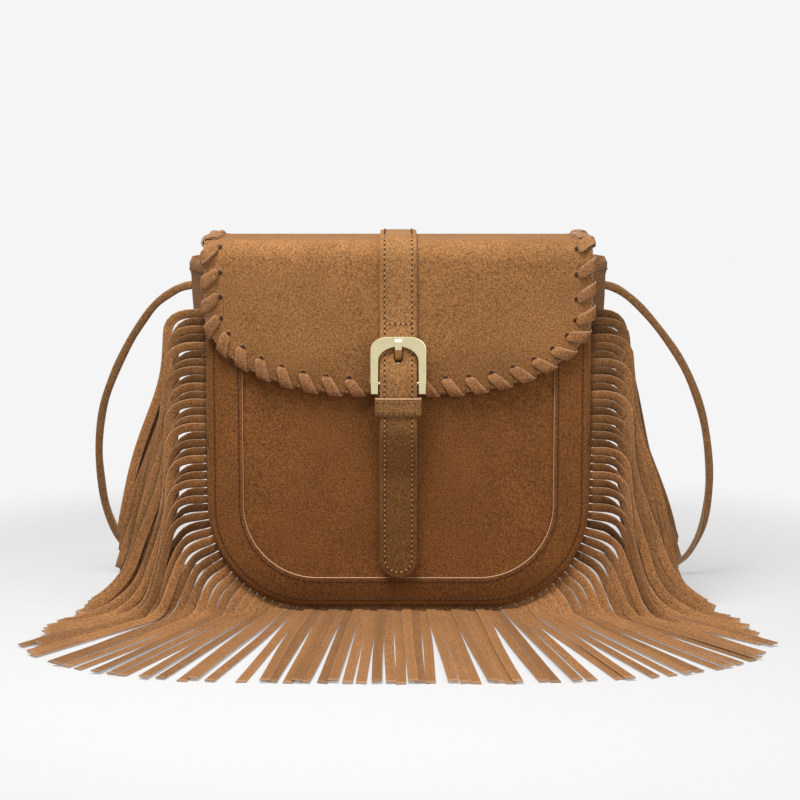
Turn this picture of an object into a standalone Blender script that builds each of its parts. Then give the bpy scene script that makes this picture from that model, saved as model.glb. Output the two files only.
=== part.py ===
"""Fringed suede shoulder bag with a laced flap, a belt and a buckle.

Metres, +Z up, front towards -Y. The origin is the middle of the base, on the floor.
"""

import math

import bmesh
import bpy
from mathutils import Matrix, Vector

# Bag body
BODY_WIDTH = 0.232
BODY_DEPTH = 0.070
MOUTH_HEIGHT = 0.218
PANEL_LIFT = 0.005
CORNER_RADIUS = 0.062
LEATHER = 0.0020
GAP = 0.0003

# Border on the front panel
BORDER_SIDE = 0.021
BORDER_BOTTOM = 0.0175
BORDER_CORNER = 0.045
BORDER_THICK = 0.0016

# Gusset
GUSSET_THICK = 0.0018
GUSSET_INSET = 0.0015
GUSSET_FOLD = 0.013
GUSSET_SIDE_BULGE = 0.003
GUSSET_FLATNESS = 6.0
GUSSET_ROUNDNESS = 1.4
GUSSET_BASE_DROP = 0.0015
HEM_HEIGHT = 0.009
HEM_EXTRA = 0.0008

# Lining
LINING_THICK = 0.0006
LINING_INSET = 0.0048
LINING_DROP = 0.004

# Fringe
FRINGE_START = 0.1895
FRINGE_PITCH = 0.005
FRINGE_SLIT = 0.0005
FRINGE_LENGTH = 0.168
FLARE = 0.40
FLARE_TOP = 0.135
FRINGE_THICK = 0.0007
FRINGE_BAND = 0.008
FRINGE_OUT = 0.0015
FALL_START = math.radians(0)
FALL_STEEP = math.radians(86)
FALL_PITCH = math.radians(73)
FALL_LOW = math.radians(54)
SWEEP_LOW = 0.030
SWEEP_SPAN = 0.070
FALL_EASE = 0.050
FAN_TOP = math.radians(-15)
FAN_SIDE = math.radians(46)
FAN_CORNER = math.radians(76)
STRIP_STATIONS = (0.0, 0.05, 0.11, 0.19, 0.31, 0.46, 0.62, 0.80, 1.0)
BOTTOM_STATIONS = (0.0, 0.015, 0.035, 0.12, 0.45, 1.0)
STRIP_STEPS = 168
TWIST_MOST = 0.030
TWIST_LEAST = 0.006
TWIST_SHARE = 0.55
LOW_ROOT = 0.030
FLARE_SPAN = 0.045
BEND_HIGH = 0.014
BEND_LEAST = 0.004
FALL_RUN = 0.030
LAP_SINE = 0.85
LAP_SPAN = 0.6
STAND_SPAN = 0.8
STAND_HEIGHT = 0.060
STAND_MOST = math.radians(115)

# Flap
FLAP_WIDTH = 0.235
FLAP_THICK = 0.0024
FLAP_RISE = 0.0125
FLAP_BOTTOM = 0.1375
FLAP_CURVE_START = 0.187
FLAP_CURVE_WIDTH = 0.093
FLAP_BACK_RADIUS = 0.009
FLAP_FRONT_RADIUS = 0.011

# Lacing
LACE_PITCH = 0.0149
LACE_THICK = 0.0012
LACE_WIDTH = 0.0070
LACE_INSET = 0.0086
LACE_HOLE = 0.0040
LACE_MARGIN = 0.006
LACE_CLEAR = 0.0009
LACE_BEND_LIFT = 0.0006

# Belt, keeper and chape
BELT_WIDTH = 0.0226
BELT_THICK = 0.0028
BELT_TIP = 0.0235
BELT_LIFT_RISE = 0.0355
BELT_FLAT_RISE = 0.0050
BELT_DROP_START = 0.0285
BELT_DROP_END = 0.0565
BELT_BACK = 0.022
BELT_HOLE_WIDTH = 0.0056
BELT_HOLE_HEIGHT = 0.0074
BELT_HOLE_RISE = 0.0160
KEEPER_WIDTH = 0.0283
KEEPER_HEIGHT = 0.011
KEEPER_THICK = 0.0013
KEEPER_BELOW_BAR = 0.0137
CHAPE_WIDTH = 0.0205
CHAPE_THICK = 0.0011
CHAPE_LENGTH = 0.0240
CHAPE_NECK = 0.0010

# Buckle
FRAME_WIDTH = 0.0338
FRAME_RISE = 0.0290
FRAME_DROP = 0.0060
FRAME_LEG = 0.0048
FRAME_ARCH = 0.0062
FRAME_THICK = 0.0026
FRAME_TILT = math.radians(1.5)
BAR_RADIUS = 0.0011
BAR_HEIGHT = 0.1445
PRONG_WIDTH = 0.0040
PRONG_THICK = 0.0016

# Magnetic button
SNAP_RADIUS = 0.009
SNAP_THICK = 0.0014
SNAP_HEIGHT = 0.160

# Shoulder strap
STRAP_THICK = 0.0050
STRAP_LIE = STRAP_THICK / 2 + 2 * GAP
STRAP_SPACING = 0.0165

# Derived levels, negative towards the front
PANEL_FRONT = -BODY_DEPTH / 2
PANEL_INSIDE = PANEL_FRONT + LEATHER
BACK_INSIDE = BODY_DEPTH / 2 - LEATHER
BORDER_FACE = PANEL_FRONT - GAP - BORDER_THICK
BAND_FRONT = PANEL_INSIDE + GAP
BAND_BACK = BAND_FRONT + FRINGE_THICK
FRINGE_MIDDLE = (BAND_FRONT + BAND_BACK) / 2
GUSSET_FRONT = BAND_BACK + GAP
GUSSET_BACK = BACK_INSIDE - GAP
FLAP_MIDDLE = BORDER_FACE - LACE_CLEAR - LACE_THICK - GAP - FLAP_THICK / 2
FLAP_FACE = FLAP_MIDDLE - FLAP_THICK / 2
HINGE_Y = BODY_DEPTH / 2 + GAP
HINGE_Z = MOUTH_HEIGHT + 0.00065
FLAP_START = HINGE_Z + 0.00015
ROOF_MIDDLE = MOUTH_HEIGHT + FLAP_RISE - FLAP_THICK / 2
BELT_OFFSET = FLAP_THICK / 2 + GAP + BELT_THICK / 2
FRAME_TOP = BAR_HEIGHT + FRAME_RISE
FRAME_BOTTOM = BAR_HEIGHT - FRAME_DROP
KEEPER_MIDDLE = BAR_HEIGHT - KEEPER_BELOW_BAR
CHAPE_INNER = BAR_RADIUS + GAP
CHAPE_OUTER = CHAPE_INNER + CHAPE_THICK
LACE_FACE = FLAP_FACE - GAP - LACE_THICK
BAR_Y = LACE_FACE - 0.0008 - CHAPE_OUTER
BELT_AT_BAR = BAR_Y - CHAPE_OUTER - GAP - BELT_THICK / 2

COLLECTION = "fringed_suede_bag"


def clear_scene():
    for obj in list(bpy.data.objects):
        bpy.data.objects.remove(obj, do_unlink=True)


def collection_named(name):
    made = bpy.data.collections.new(name)
    bpy.context.scene.collection.children.link(made)
    return made


def material(name, colour, roughness, metallic=0.0):
    made = bpy.data.materials.new(name)
    made.use_nodes = True
    shader = made.node_tree.nodes["Principled BSDF"]
    shader.inputs["Base Color"].default_value = (*colour, 1.0)
    shader.inputs["Roughness"].default_value = roughness
    shader.inputs["Metallic"].default_value = metallic
    made.diffuse_color = (*colour, 1.0)
    return made


def suede(name, shade=1.0):
    return material(name, (0.34 * shade, 0.17 * shade, 0.07 * shade), 0.9)


def gold(name):
    return material(name, (0.80, 0.74, 0.52), 0.25, 1.0)


def object_from_mesh(mesh, name, look, into):
    mesh.materials.clear()
    mesh.materials.append(look)
    made = bpy.data.objects.new(name, mesh)
    into.objects.link(made)
    return made


def face_outwards(build):
    bmesh.ops.recalc_face_normals(build, faces=build.faces)
    if build.calc_volume(signed=True) < 0:
        bmesh.ops.reverse_faces(build, faces=build.faces)


def object_from_faces(name, points, faces, look, into):
    mesh = bpy.data.meshes.new(name)
    mesh.from_pydata(points, [], faces)
    build = bmesh.new()
    build.from_mesh(mesh)
    face_outwards(build)
    build.to_mesh(mesh)
    build.free()
    return object_from_mesh(mesh, name, look, into)


def plate_mesh(name, loops, thickness, rounding=0.0):
    """A flat plate in the XY plane from closed outlines; the inner ones become holes."""
    curve = bpy.data.curves.new(name, "CURVE")
    curve.dimensions = "2D"
    curve.fill_mode = "BOTH"
    curve.extrude = thickness / 2 - rounding
    curve.bevel_depth = rounding
    curve.bevel_resolution = 1
    curve.offset = -rounding
    for loop in loops:
        spline = curve.splines.new("POLY")
        spline.points.add(len(loop) - 1)
        for point, (x, y) in zip(spline.points, loop):
            point.co = (x, y, 0.0, 1.0)
        spline.use_cyclic_u = True
    drawn = bpy.data.objects.new(name + "_outline", curve)
    bpy.context.scene.collection.objects.link(drawn)
    graph = bpy.context.evaluated_depsgraph_get()
    mesh = bpy.data.meshes.new_from_object(drawn.evaluated_get(graph))
    bpy.data.objects.remove(drawn, do_unlink=True)
    build = bmesh.new()
    build.from_mesh(mesh)
    bmesh.ops.remove_doubles(build, verts=build.verts, dist=1e-6)
    face_outwards(build)
    build.to_mesh(mesh)
    build.free()
    return mesh


def stand_up(made, y):
    """Turns a plate drawn in XY so that its drawing faces the front, with its middle at y."""
    made.rotation_euler = (math.pi / 2, 0.0, 0.0)
    made.location = (0.0, y, 0.0)
    return made


def arc(cx, cy, rx, ry, start, end, steps):
    turn = [start + (end - start) * i / steps for i in range(steps + 1)]
    return [(cx + rx * math.cos(a), cy + ry * math.sin(a)) for a in turn]


def body_outline(offset, corner_steps=10, top=MOUTH_HEIGHT):
    """The U of the bag from the top left, round the bottom, to the top right, moved outwards."""
    half = BODY_WIDTH / 2 + offset
    low = PANEL_LIFT - offset
    radius = CORNER_RADIUS + offset
    left = arc(-half + radius, low + radius, radius, radius, math.pi, 1.5 * math.pi, corner_steps)
    right = arc(half - radius, low + radius, radius, radius, 1.5 * math.pi, 2 * math.pi, corner_steps)
    return [(-half, top)] + left + right + [(half, top)]


def edge_point(distance):
    """Point and outward direction on the front seam, measured from the top left of the fringe."""
    half = BODY_WIDTH / 2
    corner_z = PANEL_LIFT + CORNER_RADIUS
    side = FRINGE_START - corner_z
    bend = CORNER_RADIUS * math.pi / 2
    flat = BODY_WIDTH - 2 * CORNER_RADIUS
    if distance > side + bend + flat / 2:
        point, out = edge_point(2 * side + 2 * bend + flat - distance)
        return Vector((-point.x, point.y, point.z)), Vector((-out.x, out.y, out.z))
    if distance <= side:
        return Vector((-half, 0, FRINGE_START - distance)), Vector((-1, 0, 0))
    if distance <= side + bend:
        turn = (distance - side) / CORNER_RADIUS
        out = Vector((-math.cos(turn), 0, -math.sin(turn)))
        return Vector((CORNER_RADIUS - half, 0, corner_z)) + out * CORNER_RADIUS, out
    along = distance - side - bend
    return Vector((CORNER_RADIUS - half + along, 0, PANEL_LIFT)), Vector((0, 0, -1))


def smooth(x):
    x = min(1.0, max(0.0, x))
    return x * x * (3 - 2 * x)


def fan_angle(distance, half_run):
    """Azimuth of a strip on the left half: 0 points sideways, a right angle points forwards."""
    side = FRINGE_START - PANEL_LIFT - CORNER_RADIUS
    bend = CORNER_RADIUS * math.pi / 2
    if distance <= side:
        return FAN_TOP + (FAN_SIDE - FAN_TOP) * distance / side
    if distance <= side + bend:
        return FAN_SIDE + (FAN_CORNER - FAN_SIDE) * (distance - side) / bend
    share = (distance - side - bend) / (half_run - side - bend)
    return FAN_CORNER + (math.pi / 2 - FAN_CORNER) * share


def turned(tangent, across):
    """The rotation that carries X to the tangent and Y to the width of a strip."""
    across = (across - tangent * across.dot(tangent)).normalized()
    normal = tangent.cross(across)
    return Matrix((tangent, across, normal)).transposed().to_quaternion()


def strip_sections(distance, half_run, stations):
    """Frames (middle, width direction, normal) down one strip of the left half.

    A strip hangs with its face to the front, the next lower one in front of it, and turns
    flat as it nears the floor.
    """
    root, out = edge_point(distance)
    root = root + out * FRINGE_OUT
    root.y = FRINGE_MIDDLE
    azimuth = fan_angle(distance, half_run)
    ahead = fan_angle(min(distance + FRINGE_PITCH, half_run), half_run)
    heading = Vector((-math.cos(azimuth), -math.sin(azimuth), 0))
    sideways = Vector((0, 0, 1)).cross(heading)
    seam = Vector((-out.z, 0, out.x))
    root_turn = turned(out, seam)
    settle = min(TWIST_MOST, max(TWIST_LEAST, TWIST_SHARE * root.z))
    flare = FLARE * root.z
    if root.z > LOW_ROOT:
        flare *= 1 - smooth((root.z - FLARE_TOP) / FLARE_SPAN)
    bend = max(BEND_HIGH * smooth(root.z / LOW_ROOT), BEND_LEAST, flare)
    half_width = (FRINGE_PITCH - FRINGE_SLIT) / 2
    lower = FRINGE_PITCH * abs(seam.z)
    beside = max(0.0, FRINGE_PITCH * seam.dot(sideways))
    steep = FALL_LOW + (FALL_STEEP - FALL_LOW) * smooth((root.z - SWEEP_LOW) / SWEEP_SPAN)
    pitch = min(FALL_PITCH, steep)
    stand = math.pi / 2 * smooth(-out.x / STAND_SPAN)
    step = FRINGE_LENGTH / STRIP_STEPS
    place = root.copy()
    rest = FRINGE_THICK / 2 + GAP
    frames = []
    for i in range(STRIP_STEPS + 1):
        fall = FALL_START + (steep - FALL_START) * smooth(i * step / FALL_RUN)
        fall += (pitch - steep) * smooth((i * step - FALL_RUN) / FALL_EASE)
        if place.z - rest < bend:
            fall = min(fall, math.acos(min(1.0, max(0.0, 1 - (place.z - rest) / bend))))
        reach = math.hypot(place.x - root.x, place.y - root.y)
        down = min(lower, max(0.0, place.z - rest)) * math.cos(fall)
        ahead_by = beside + reach * abs(ahead - azimuth)
        spacing = math.hypot(down, ahead_by)
        lap = math.asin(min(LAP_SINE, (FRINGE_THICK + GAP) / spacing))
        lap *= 1 - smooth((spacing - 2 * half_width) / (LAP_SPAN * half_width))
        least = (lap + math.atan2(down, ahead_by)) * min(1.0, stand)
        turn = max(stand * smooth((place.z - rest) / STAND_HEIGHT), min(least, STAND_MOST))
        rest = (FRINGE_THICK / 2 * math.cos(turn) + half_width * math.sin(turn)) * math.cos(fall)
        rest = GAP + max(rest, FRINGE_THICK / 2)
        tangent = heading * math.cos(fall) - Vector((0, 0, 1)) * math.sin(fall)
        lift = tangent.cross(sideways)
        across = sideways * math.cos(turn) - lift * math.sin(turn)
        share = smooth(i * step / settle)
        frame = root_turn.slerp(turned(tangent, across), share)
        frames.append((place.copy(), frame @ Vector((0, 1, 0)), frame @ Vector((0, 0, 1))))
        place = place + (frame @ Vector((1, 0, 0))) * step
        place.z = max(place.z, rest)
    return [frames[round(s * STRIP_STEPS)] for s in stations]


def fringe_run():
    """Length of the front seam that carries the fringe."""
    side = FRINGE_START - PANEL_LIFT - CORNER_RADIUS
    return 2 * side + math.pi * CORNER_RADIUS + BODY_WIDTH - 2 * CORNER_RADIUS


def fringe_mesh(name, first, count, look, into):
    """A band with its strips, for one run of the seam."""
    half_run = fringe_run() / 2
    bottom_half = BODY_WIDTH / 2 - CORNER_RADIUS
    half_width = (FRINGE_PITCH - FRINGE_SLIT) / 2
    points = []
    faces = []

    def band_pair(distance, inwards):
        point, out = edge_point(distance)
        point = point + out * (FRINGE_OUT - inwards)
        points.append((point.x, BAND_FRONT, point.z))
        points.append((point.x, BAND_BACK, point.z))
        return len(points) - 2

    inner = [band_pair(first + k * FRINGE_PITCH, FRINGE_BAND) for k in range(count + 1)]
    previous = None
    for k in range(count):
        middle = first + (k + 0.5) * FRINGE_PITCH
        flip = middle > half_run
        stations = BOTTOM_STATIONS if abs(middle - half_run) < bottom_half else STRIP_STATIONS
        left = band_pair(middle - half_width, 0.0)
        right = band_pair(middle + half_width, 0.0)
        faces.append((inner[k], inner[k + 1], right, left))
        faces.append((inner[k] + 1, left + 1, right + 1, inner[k + 1] + 1))
        faces.append((inner[k], inner[k] + 1, inner[k + 1] + 1, inner[k + 1]))
        if previous is not None:
            faces.append((previous, inner[k], left))
            faces.append((previous + 1, left + 1, inner[k] + 1))
            faces.append((previous, left, left + 1, previous + 1))
        ring = (left, right, right + 1, left + 1)
        frames = strip_sections(2 * half_run - middle if flip else middle, half_run, stations)
        for place, across, normal in frames[1:]:
            wide = across * half_width
            thick = normal * FRINGE_THICK / 2
            corners = [place - wide + thick, place + wide + thick]
            corners += [place + wide - thick, place - wide - thick]
            if flip:
                corners = [Vector((-c.x, c.y, c.z)) for c in corners]
                corners = [corners[1], corners[0], corners[3], corners[2]]
            start = len(points)
            points.extend(tuple(c) for c in corners)
            fresh = tuple(range(start, start + 4))
            faces.append((ring[0], ring[1], fresh[1]))
            faces.append((ring[0], fresh[1], fresh[0]))
            faces.append((ring[3], fresh[2], ring[2]))
            faces.append((ring[3], fresh[3], fresh[2]))
            faces.append((ring[1], ring[2], fresh[2], fresh[1]))
            faces.append((ring[3], ring[0], fresh[0], fresh[3]))
            ring = fresh
        faces.append(ring)
        previous = right
    for end, strip in ((0, 2 * (count + 1)), (count, None)):
        if strip is None:
            faces.append((inner[end], inner[end] + 1, previous + 1, previous))
        else:
            faces.append((inner[end], strip, strip + 1, inner[end] + 1))
    return object_from_faces(name, points, faces, look, into)


def build_panels(into):
    outline = body_outline(0.0)
    for name, y in (
        ("front_panel", PANEL_FRONT + LEATHER / 2),
        ("back_panel", BODY_DEPTH / 2 - LEATHER / 2),
    ):
        mesh = plate_mesh(name, [outline], LEATHER)
        stand_up(object_from_mesh(mesh, name, suede(name + "_suede", 0.85), into), y)

    half = BODY_WIDTH / 2 - BORDER_SIDE
    low = PANEL_LIFT + BORDER_BOTTOM
    radius = BORDER_CORNER
    inside = [(half, MOUTH_HEIGHT)]
    inside += arc(half - radius, low + radius, radius, radius, 0, -math.pi / 2, 8)
    inside += arc(radius - half, low + radius, radius, radius, -math.pi / 2, -math.pi, 8)
    inside += [(-half, MOUTH_HEIGHT)]
    mesh = plate_mesh("front_border", [outline + inside], BORDER_THICK)
    border = object_from_mesh(mesh, "front_border", suede("front_border_suede", 0.9), into)
    stand_up(border, PANEL_FRONT - GAP - BORDER_THICK / 2)


def gusset_offset(height, across, thickness, hem):
    """How far the gusset stands out from the seam line at one height and depth."""
    corner_z = PANEL_LIFT + CORNER_RADIUS
    rise = smooth((height - corner_z) / (MOUTH_HEIGHT - corner_z))
    bulge = GUSSET_SIDE_BULGE + (GUSSET_FOLD - GUSSET_SIDE_BULGE) * rise
    power = GUSSET_FLATNESS + (GUSSET_ROUNDNESS - GUSSET_FLATNESS) * rise
    low = smooth((corner_z - height) / corner_z)
    bulge += (PANEL_LIFT + GUSSET_BASE_DROP - bulge) * low
    out = -GUSSET_INSET + (bulge + GUSSET_INSET) * (1 - abs(across) ** power)
    return out - thickness + hem


def build_gusset(into):
    """A strip lofted around the U, folded outwards at the mouth and flat under the bag."""
    corner_z = PANEL_LIFT + CORNER_RADIUS
    heights = [MOUTH_HEIGHT, MOUTH_HEIGHT - HEM_HEIGHT, MOUTH_HEIGHT - HEM_HEIGHT - 0.001]
    heights += [corner_z + (MOUTH_HEIGHT - corner_z) * share for share in (0.76, 0.55, 0.35, 0.16)]
    half = BODY_WIDTH / 2
    path = [(Vector((-half, 0, z)), Vector((-1, 0, 0))) for z in heights]
    for k in range(9):
        turn = math.pi / 2 * k / 8
        out = Vector((-math.cos(turn), 0, -math.sin(turn)))
        middle = Vector((CORNER_RADIUS - half, 0, corner_z))
        path.append((middle + out * CORNER_RADIUS, out))
    path += [(Vector((-p.x, 0, p.z)), Vector((-o.x, 0, o.z))) for p, o in reversed(path)]
    depths = (-1.0, -0.72, -0.4, 0.0, 0.4, 0.72, 1.0)
    middle_y = (GUSSET_FRONT + GUSSET_BACK) / 2
    half_y = (GUSSET_BACK - GUSSET_FRONT) / 2
    points = []
    for point, out in path:
        hem = HEM_EXTRA if point.z >= MOUTH_HEIGHT - HEM_HEIGHT else 0.0
        for thickness, extra in ((0.0, hem), (GUSSET_THICK, -hem)):
            for across in depths:
                offset = gusset_offset(point.z, across, thickness, extra)
                place = point + out * offset
                place.z = max(place.z, thickness)
                points.append((place.x, middle_y + half_y * across, place.z))
    n = len(depths)
    faces = []
    for k in range(len(path) - 1):
        a = 2 * n * k
        b = a + 2 * n
        for j in range(n - 1):
            faces.append((a + j, a + j + 1, b + j + 1, b + j))
            faces.append((a + n + j, b + n + j, b + n + j + 1, a + n + j + 1))
        faces.append((a, b, b + n, a + n))
        faces.append((a + n - 1, a + 2 * n - 1, b + 2 * n - 1, b + n - 1))
    last = 2 * n * (len(path) - 1)
    for start in (0, last):
        for j in range(n - 1):
            faces.append((start + j, start + n + j, start + n + j + 1, start + j + 1))
    object_from_faces("gusset", points, faces, suede("gusset_suede", 0.75), into)


def build_lining(into):
    """A thin open pouch: an outline with two walls, given its thickness by a Solidify."""
    outline = body_outline(-LINING_INSET, 6, MOUTH_HEIGHT - LINING_DROP)
    front = GUSSET_FRONT + 0.0002
    back = GUSSET_BACK - 0.0002
    n = len(outline)
    points = [(x, front, z) for x, z in outline] + [(x, back, z) for x, z in outline]
    faces = [tuple(range(n)), tuple(range(2 * n - 1, n - 1, -1))]
    faces += [(k, n + k, n + k + 1, k + 1) for k in range(n - 1)]
    mesh = bpy.data.meshes.new("lining")
    mesh.from_pydata(points, [], faces)
    build = bmesh.new()
    build.from_mesh(mesh)
    bmesh.ops.recalc_face_normals(build, faces=build.faces)
    if max(build.faces, key=lambda f: f.calc_area()).normal.y * points[0][1] < 0:
        bmesh.ops.reverse_faces(build, faces=build.faces)
    build.to_mesh(mesh)
    build.free()
    made = object_from_mesh(mesh, "lining", material("lining_cloth", (0.20, 0.12, 0.06), 0.8), into)
    shell = made.modifiers.new("wall", "SOLIDIFY")
    shell.thickness = LINING_THICK
    shell.offset = -1.0
    shell.use_even_offset = True


def build_fringe(into):
    """Three lengths of fringe that meet in the corners of the front seam."""
    total = math.floor(fringe_run() / FRINGE_PITCH)
    start = (fringe_run() - total * FRINGE_PITCH) / 2
    side = round((total - (BODY_WIDTH - 2 * CORNER_RADIUS) / FRINGE_PITCH) / 2)
    spans = (
        ("fringe_left", 0, side),
        ("fringe_bottom", side, total - 2 * side),
        ("fringe_right", total - side, side),
    )
    for name, skip, count in spans:
        first = start + skip * FRINGE_PITCH
        fringe_mesh(name, first, count, suede(name + "_suede"), into)


def filleted(corners, radii, steps):
    """A path through the corners (y, z) with its inner corners rounded."""
    path = [Vector(corners[0])]
    for before, corner, after, radius in zip(corners, corners[1:], corners[2:], radii):
        a = (Vector(before) - Vector(corner)).normalized()
        b = (Vector(after) - Vector(corner)).normalized()
        half = math.acos(max(-1.0, min(1.0, a.dot(b)))) / 2
        back = radius / math.tan(half)
        centre = Vector(corner) + (a + b).normalized() * radius / math.sin(half)
        first = Vector(corner) + a * back - centre
        last = Vector(corner) + b * back - centre
        turn = math.atan2(first.x * last.y - first.y * last.x, first.dot(last))
        for k in range(steps + 1):
            angle = turn * k / steps
            c, s = math.cos(angle), math.sin(angle)
            path.append(centre + Vector((first.x * c - first.y * s, first.x * s + first.y * c)))
    path.append(Vector(corners[-1]))
    return path


def lengths_along(path):
    total = [0.0]
    for a, b in zip(path, path[1:]):
        total.append(total[-1] + (b - a).length)
    return total


def wrap_point(path, marks, x, along, out):
    """Carries a point of the flat pattern (x, along) onto the bent profile, out from its middle."""
    k = 0
    while k < len(path) - 2 and along > marks[k + 1] + 1e-7:
        k += 1
    direction = (path[k + 1] - path[k]).normalized()
    place = path[k] + direction * (along - marks[k])
    normal = Vector((-direction.y, direction.x)) * -1
    for corner in (k, k + 1):
        if 0 < corner < len(path) - 1 and abs(along - marks[corner]) < 2e-6:
            before = (path[corner] - path[corner - 1]).normalized()
            after = (path[corner + 1] - path[corner]).normalized()
            mean = (before + after).normalized()
            stretch = 1 / max(0.5, mean.dot(after))
            normal = Vector((mean.y, -mean.x)) * stretch
            place = path[corner]
    place = place + normal * out
    return Vector((x, place.x, place.y))


def flap_profile():
    back = BODY_DEPTH / 2 - LEATHER / 2
    corners = [(back, FLAP_START), (back, ROOF_MIDDLE)]
    corners += [(FLAP_MIDDLE, ROOF_MIDDLE), (FLAP_MIDDLE, FLAP_BOTTOM)]
    return filleted(corners, (FLAP_BACK_RADIUS, FLAP_FRONT_RADIUS), 5)


def flap_outline(path, marks):
    """Half of the flat pattern's edge, from the hinge to the middle of the bottom."""
    half = FLAP_WIDTH / 2
    end = marks[-1]
    curve = end - (FLAP_CURVE_START - FLAP_BOTTOM)
    drop = end - curve
    points = [(-half, 0.0), (-half, curve * 0.5)]
    middle = -half + FLAP_CURVE_WIDTH
    points += arc(middle, curve, FLAP_CURVE_WIDTH, drop, math.pi, math.pi / 2, 16)
    return points


def along_edge(edge, distance):
    """Point and inward direction at a distance along the flat edge."""
    for a, b in zip(edge, edge[1:]):
        span = (b - a).length
        if distance <= span:
            direction = (b - a) / span
            return a + direction * distance, Vector((direction.y, -direction.x))
        distance -= span
    direction = (edge[-1] - edge[-2]).normalized()
    return edge[-1] + direction * distance, Vector((direction.y, -direction.x))


def build_flap(into):
    """A flat pattern with a hole for each stitch, bent over the roof, and the thong round its edge."""
    path = flap_profile()
    marks = lengths_along(path)
    left = [Vector(p) for p in flap_outline(path, marks)]
    edge = left + [Vector((-p.x, p.y)) for p in reversed(left)]
    run = lengths_along(edge)[-1]
    loops = round((run - 2 * LACE_MARGIN) / LACE_PITCH)
    pitch = (run - 2 * LACE_MARGIN) / loops
    holes = []
    for k in range(loops + 1):
        point, inward = along_edge(edge, LACE_MARGIN + k * pitch)
        centre = point + inward * LACE_INSET
        ring = arc(centre.x, centre.y, LACE_HOLE / 2, LACE_HOLE / 2, 0, 2 * math.pi, 8)
        holes.append(ring[:-1])
    mesh = plate_mesh("flap", [[tuple(p) for p in edge]] + holes, FLAP_THICK)
    build = bmesh.new()
    build.from_mesh(mesh)
    for mark in marks[1:-1]:
        parts = build.verts[:] + build.edges[:] + build.faces[:]
        bmesh.ops.bisect_plane(
            build, geom=parts, plane_co=(0, mark, 0), plane_no=(0, 1, 0), dist=1e-7
        )
    bmesh.ops.triangulate(build, faces=build.faces)
    for vertex in build.verts:
        x, along, out = vertex.co
        vertex.co = wrap_point(path, marks, x, along, out)
    face_outwards(build)
    build.to_mesh(mesh)
    build.free()
    object_from_mesh(mesh, "flap", suede("flap_suede", 1.1), into)

    front = FLAP_THICK / 2 + GAP + LACE_THICK / 2
    narrow = LACE_HOLE * 0.68
    shape = (
        (0.00, LACE_INSET, -front + 0.0003, narrow, "hole"),
        (0.00, LACE_INSET, front - 0.0003, narrow, "hole"),
        (0.04, LACE_INSET - 0.0022, front, LACE_WIDTH * 0.66, "face"),
        (0.24, -0.0002, front, LACE_WIDTH, "face"),
        (0.32, -0.0015, 0.0, LACE_WIDTH, "edge"),
        (0.40, -0.0002, -front, LACE_WIDTH * 0.95, "back"),
        (0.68, LACE_INSET * 0.5, -front, LACE_WIDTH * 0.75, "back"),
        (0.95, LACE_INSET - 0.0022, -front, LACE_WIDTH * 0.55, "back"),
    )
    bends = ((marks[1], marks[6]), (marks[7], marks[12]))
    points = []
    faces = []
    rings = []
    for k in range(loops + 1):
        for share, inset, out, width, kind in shape:
            if k == loops and share > 0.0:
                continue
            distance = LACE_MARGIN + (k + share) * pitch
            half_thick = LACE_THICK / 2
            ring = []
            for side in (-1, 1):
                middle, inward_middle = along_edge(edge, max(0.0, distance))
                bent = any(a - 0.003 < middle.y < b + 0.003 for a, b in bends)
                level = out + LACE_BEND_LIFT if bent and kind == "face" else out
                tangent = Vector((-inward_middle.y, inward_middle.x))
                flat = middle + tangent * side * width / 2 + inward_middle * inset
                if kind in ("face", "back"):
                    pair = [(flat, level + half_thick), (flat, level - half_thick)]
                    if kind == "back":
                        pair.reverse()
                else:
                    step = inward_middle * (half_thick if kind == "hole" else -half_thick)
                    pair = [(flat + step, level), (flat - step, level)]
                ring.append(pair)
            order = (ring[0][0], ring[1][0], ring[1][1], ring[0][1])
            start = len(points)
            for flat, level in order:
                points.append(tuple(wrap_point(path, marks, flat.x, flat.y, level)))
            rings.append(tuple(range(start, start + 4)))
    for a, b in zip(rings, rings[1:]):
        for j in range(4):
            faces.append((a[j], a[(j + 1) % 4], b[(j + 1) % 4], b[j]))
    faces.append(rings[0])
    faces.append(rings[-1])
    object_from_faces("flap_lacing", points, faces, suede("flap_lacing_suede", 1.15), into)


def belt_profile():
    corners = [
        (BELT_BACK, ROOF_MIDDLE + BELT_OFFSET),
        (FLAP_MIDDLE - BELT_OFFSET, ROOF_MIDDLE + BELT_OFFSET),
        (FLAP_MIDDLE - BELT_OFFSET, BAR_HEIGHT + BELT_LIFT_RISE),
        (BELT_AT_BAR, BAR_HEIGHT + BELT_FLAT_RISE),
        (BELT_AT_BAR, BAR_HEIGHT - BELT_DROP_START),
        (BORDER_FACE - 0.006, BAR_HEIGHT - BELT_DROP_END),
        (BORDER_FACE - 0.0036, BELT_TIP),
    ]
    radii = (FLAP_FRONT_RADIUS + BELT_OFFSET, 0.030, 0.020, 0.016, 0.030)
    return filleted(corners, radii, 4)


def hidden_cutter(name, mesh, cutters):
    cutter = bpy.data.objects.new(name, mesh)
    cutters.objects.link(cutter)
    cutter.hide_render = True
    cutter.display_type = "WIRE"
    return cutter


def cut(target, cutter, operation="DIFFERENCE"):
    modifier = target.modifiers.new(cutter.name, "BOOLEAN")
    modifier.operation = operation
    modifier.solver = "EXACT"
    modifier.object = cutter


def box_mesh(name, low, high):
    build = bmesh.new()
    bmesh.ops.create_cube(build, size=1.0)
    low = Vector(low)
    high = Vector(high)
    for vertex in build.verts:
        vertex.co = [l + (h - l) * (c + 0.5) for l, h, c in zip(low, high, vertex.co)]
    mesh = bpy.data.meshes.new(name)
    build.to_mesh(mesh)
    build.free()
    return mesh


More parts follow.
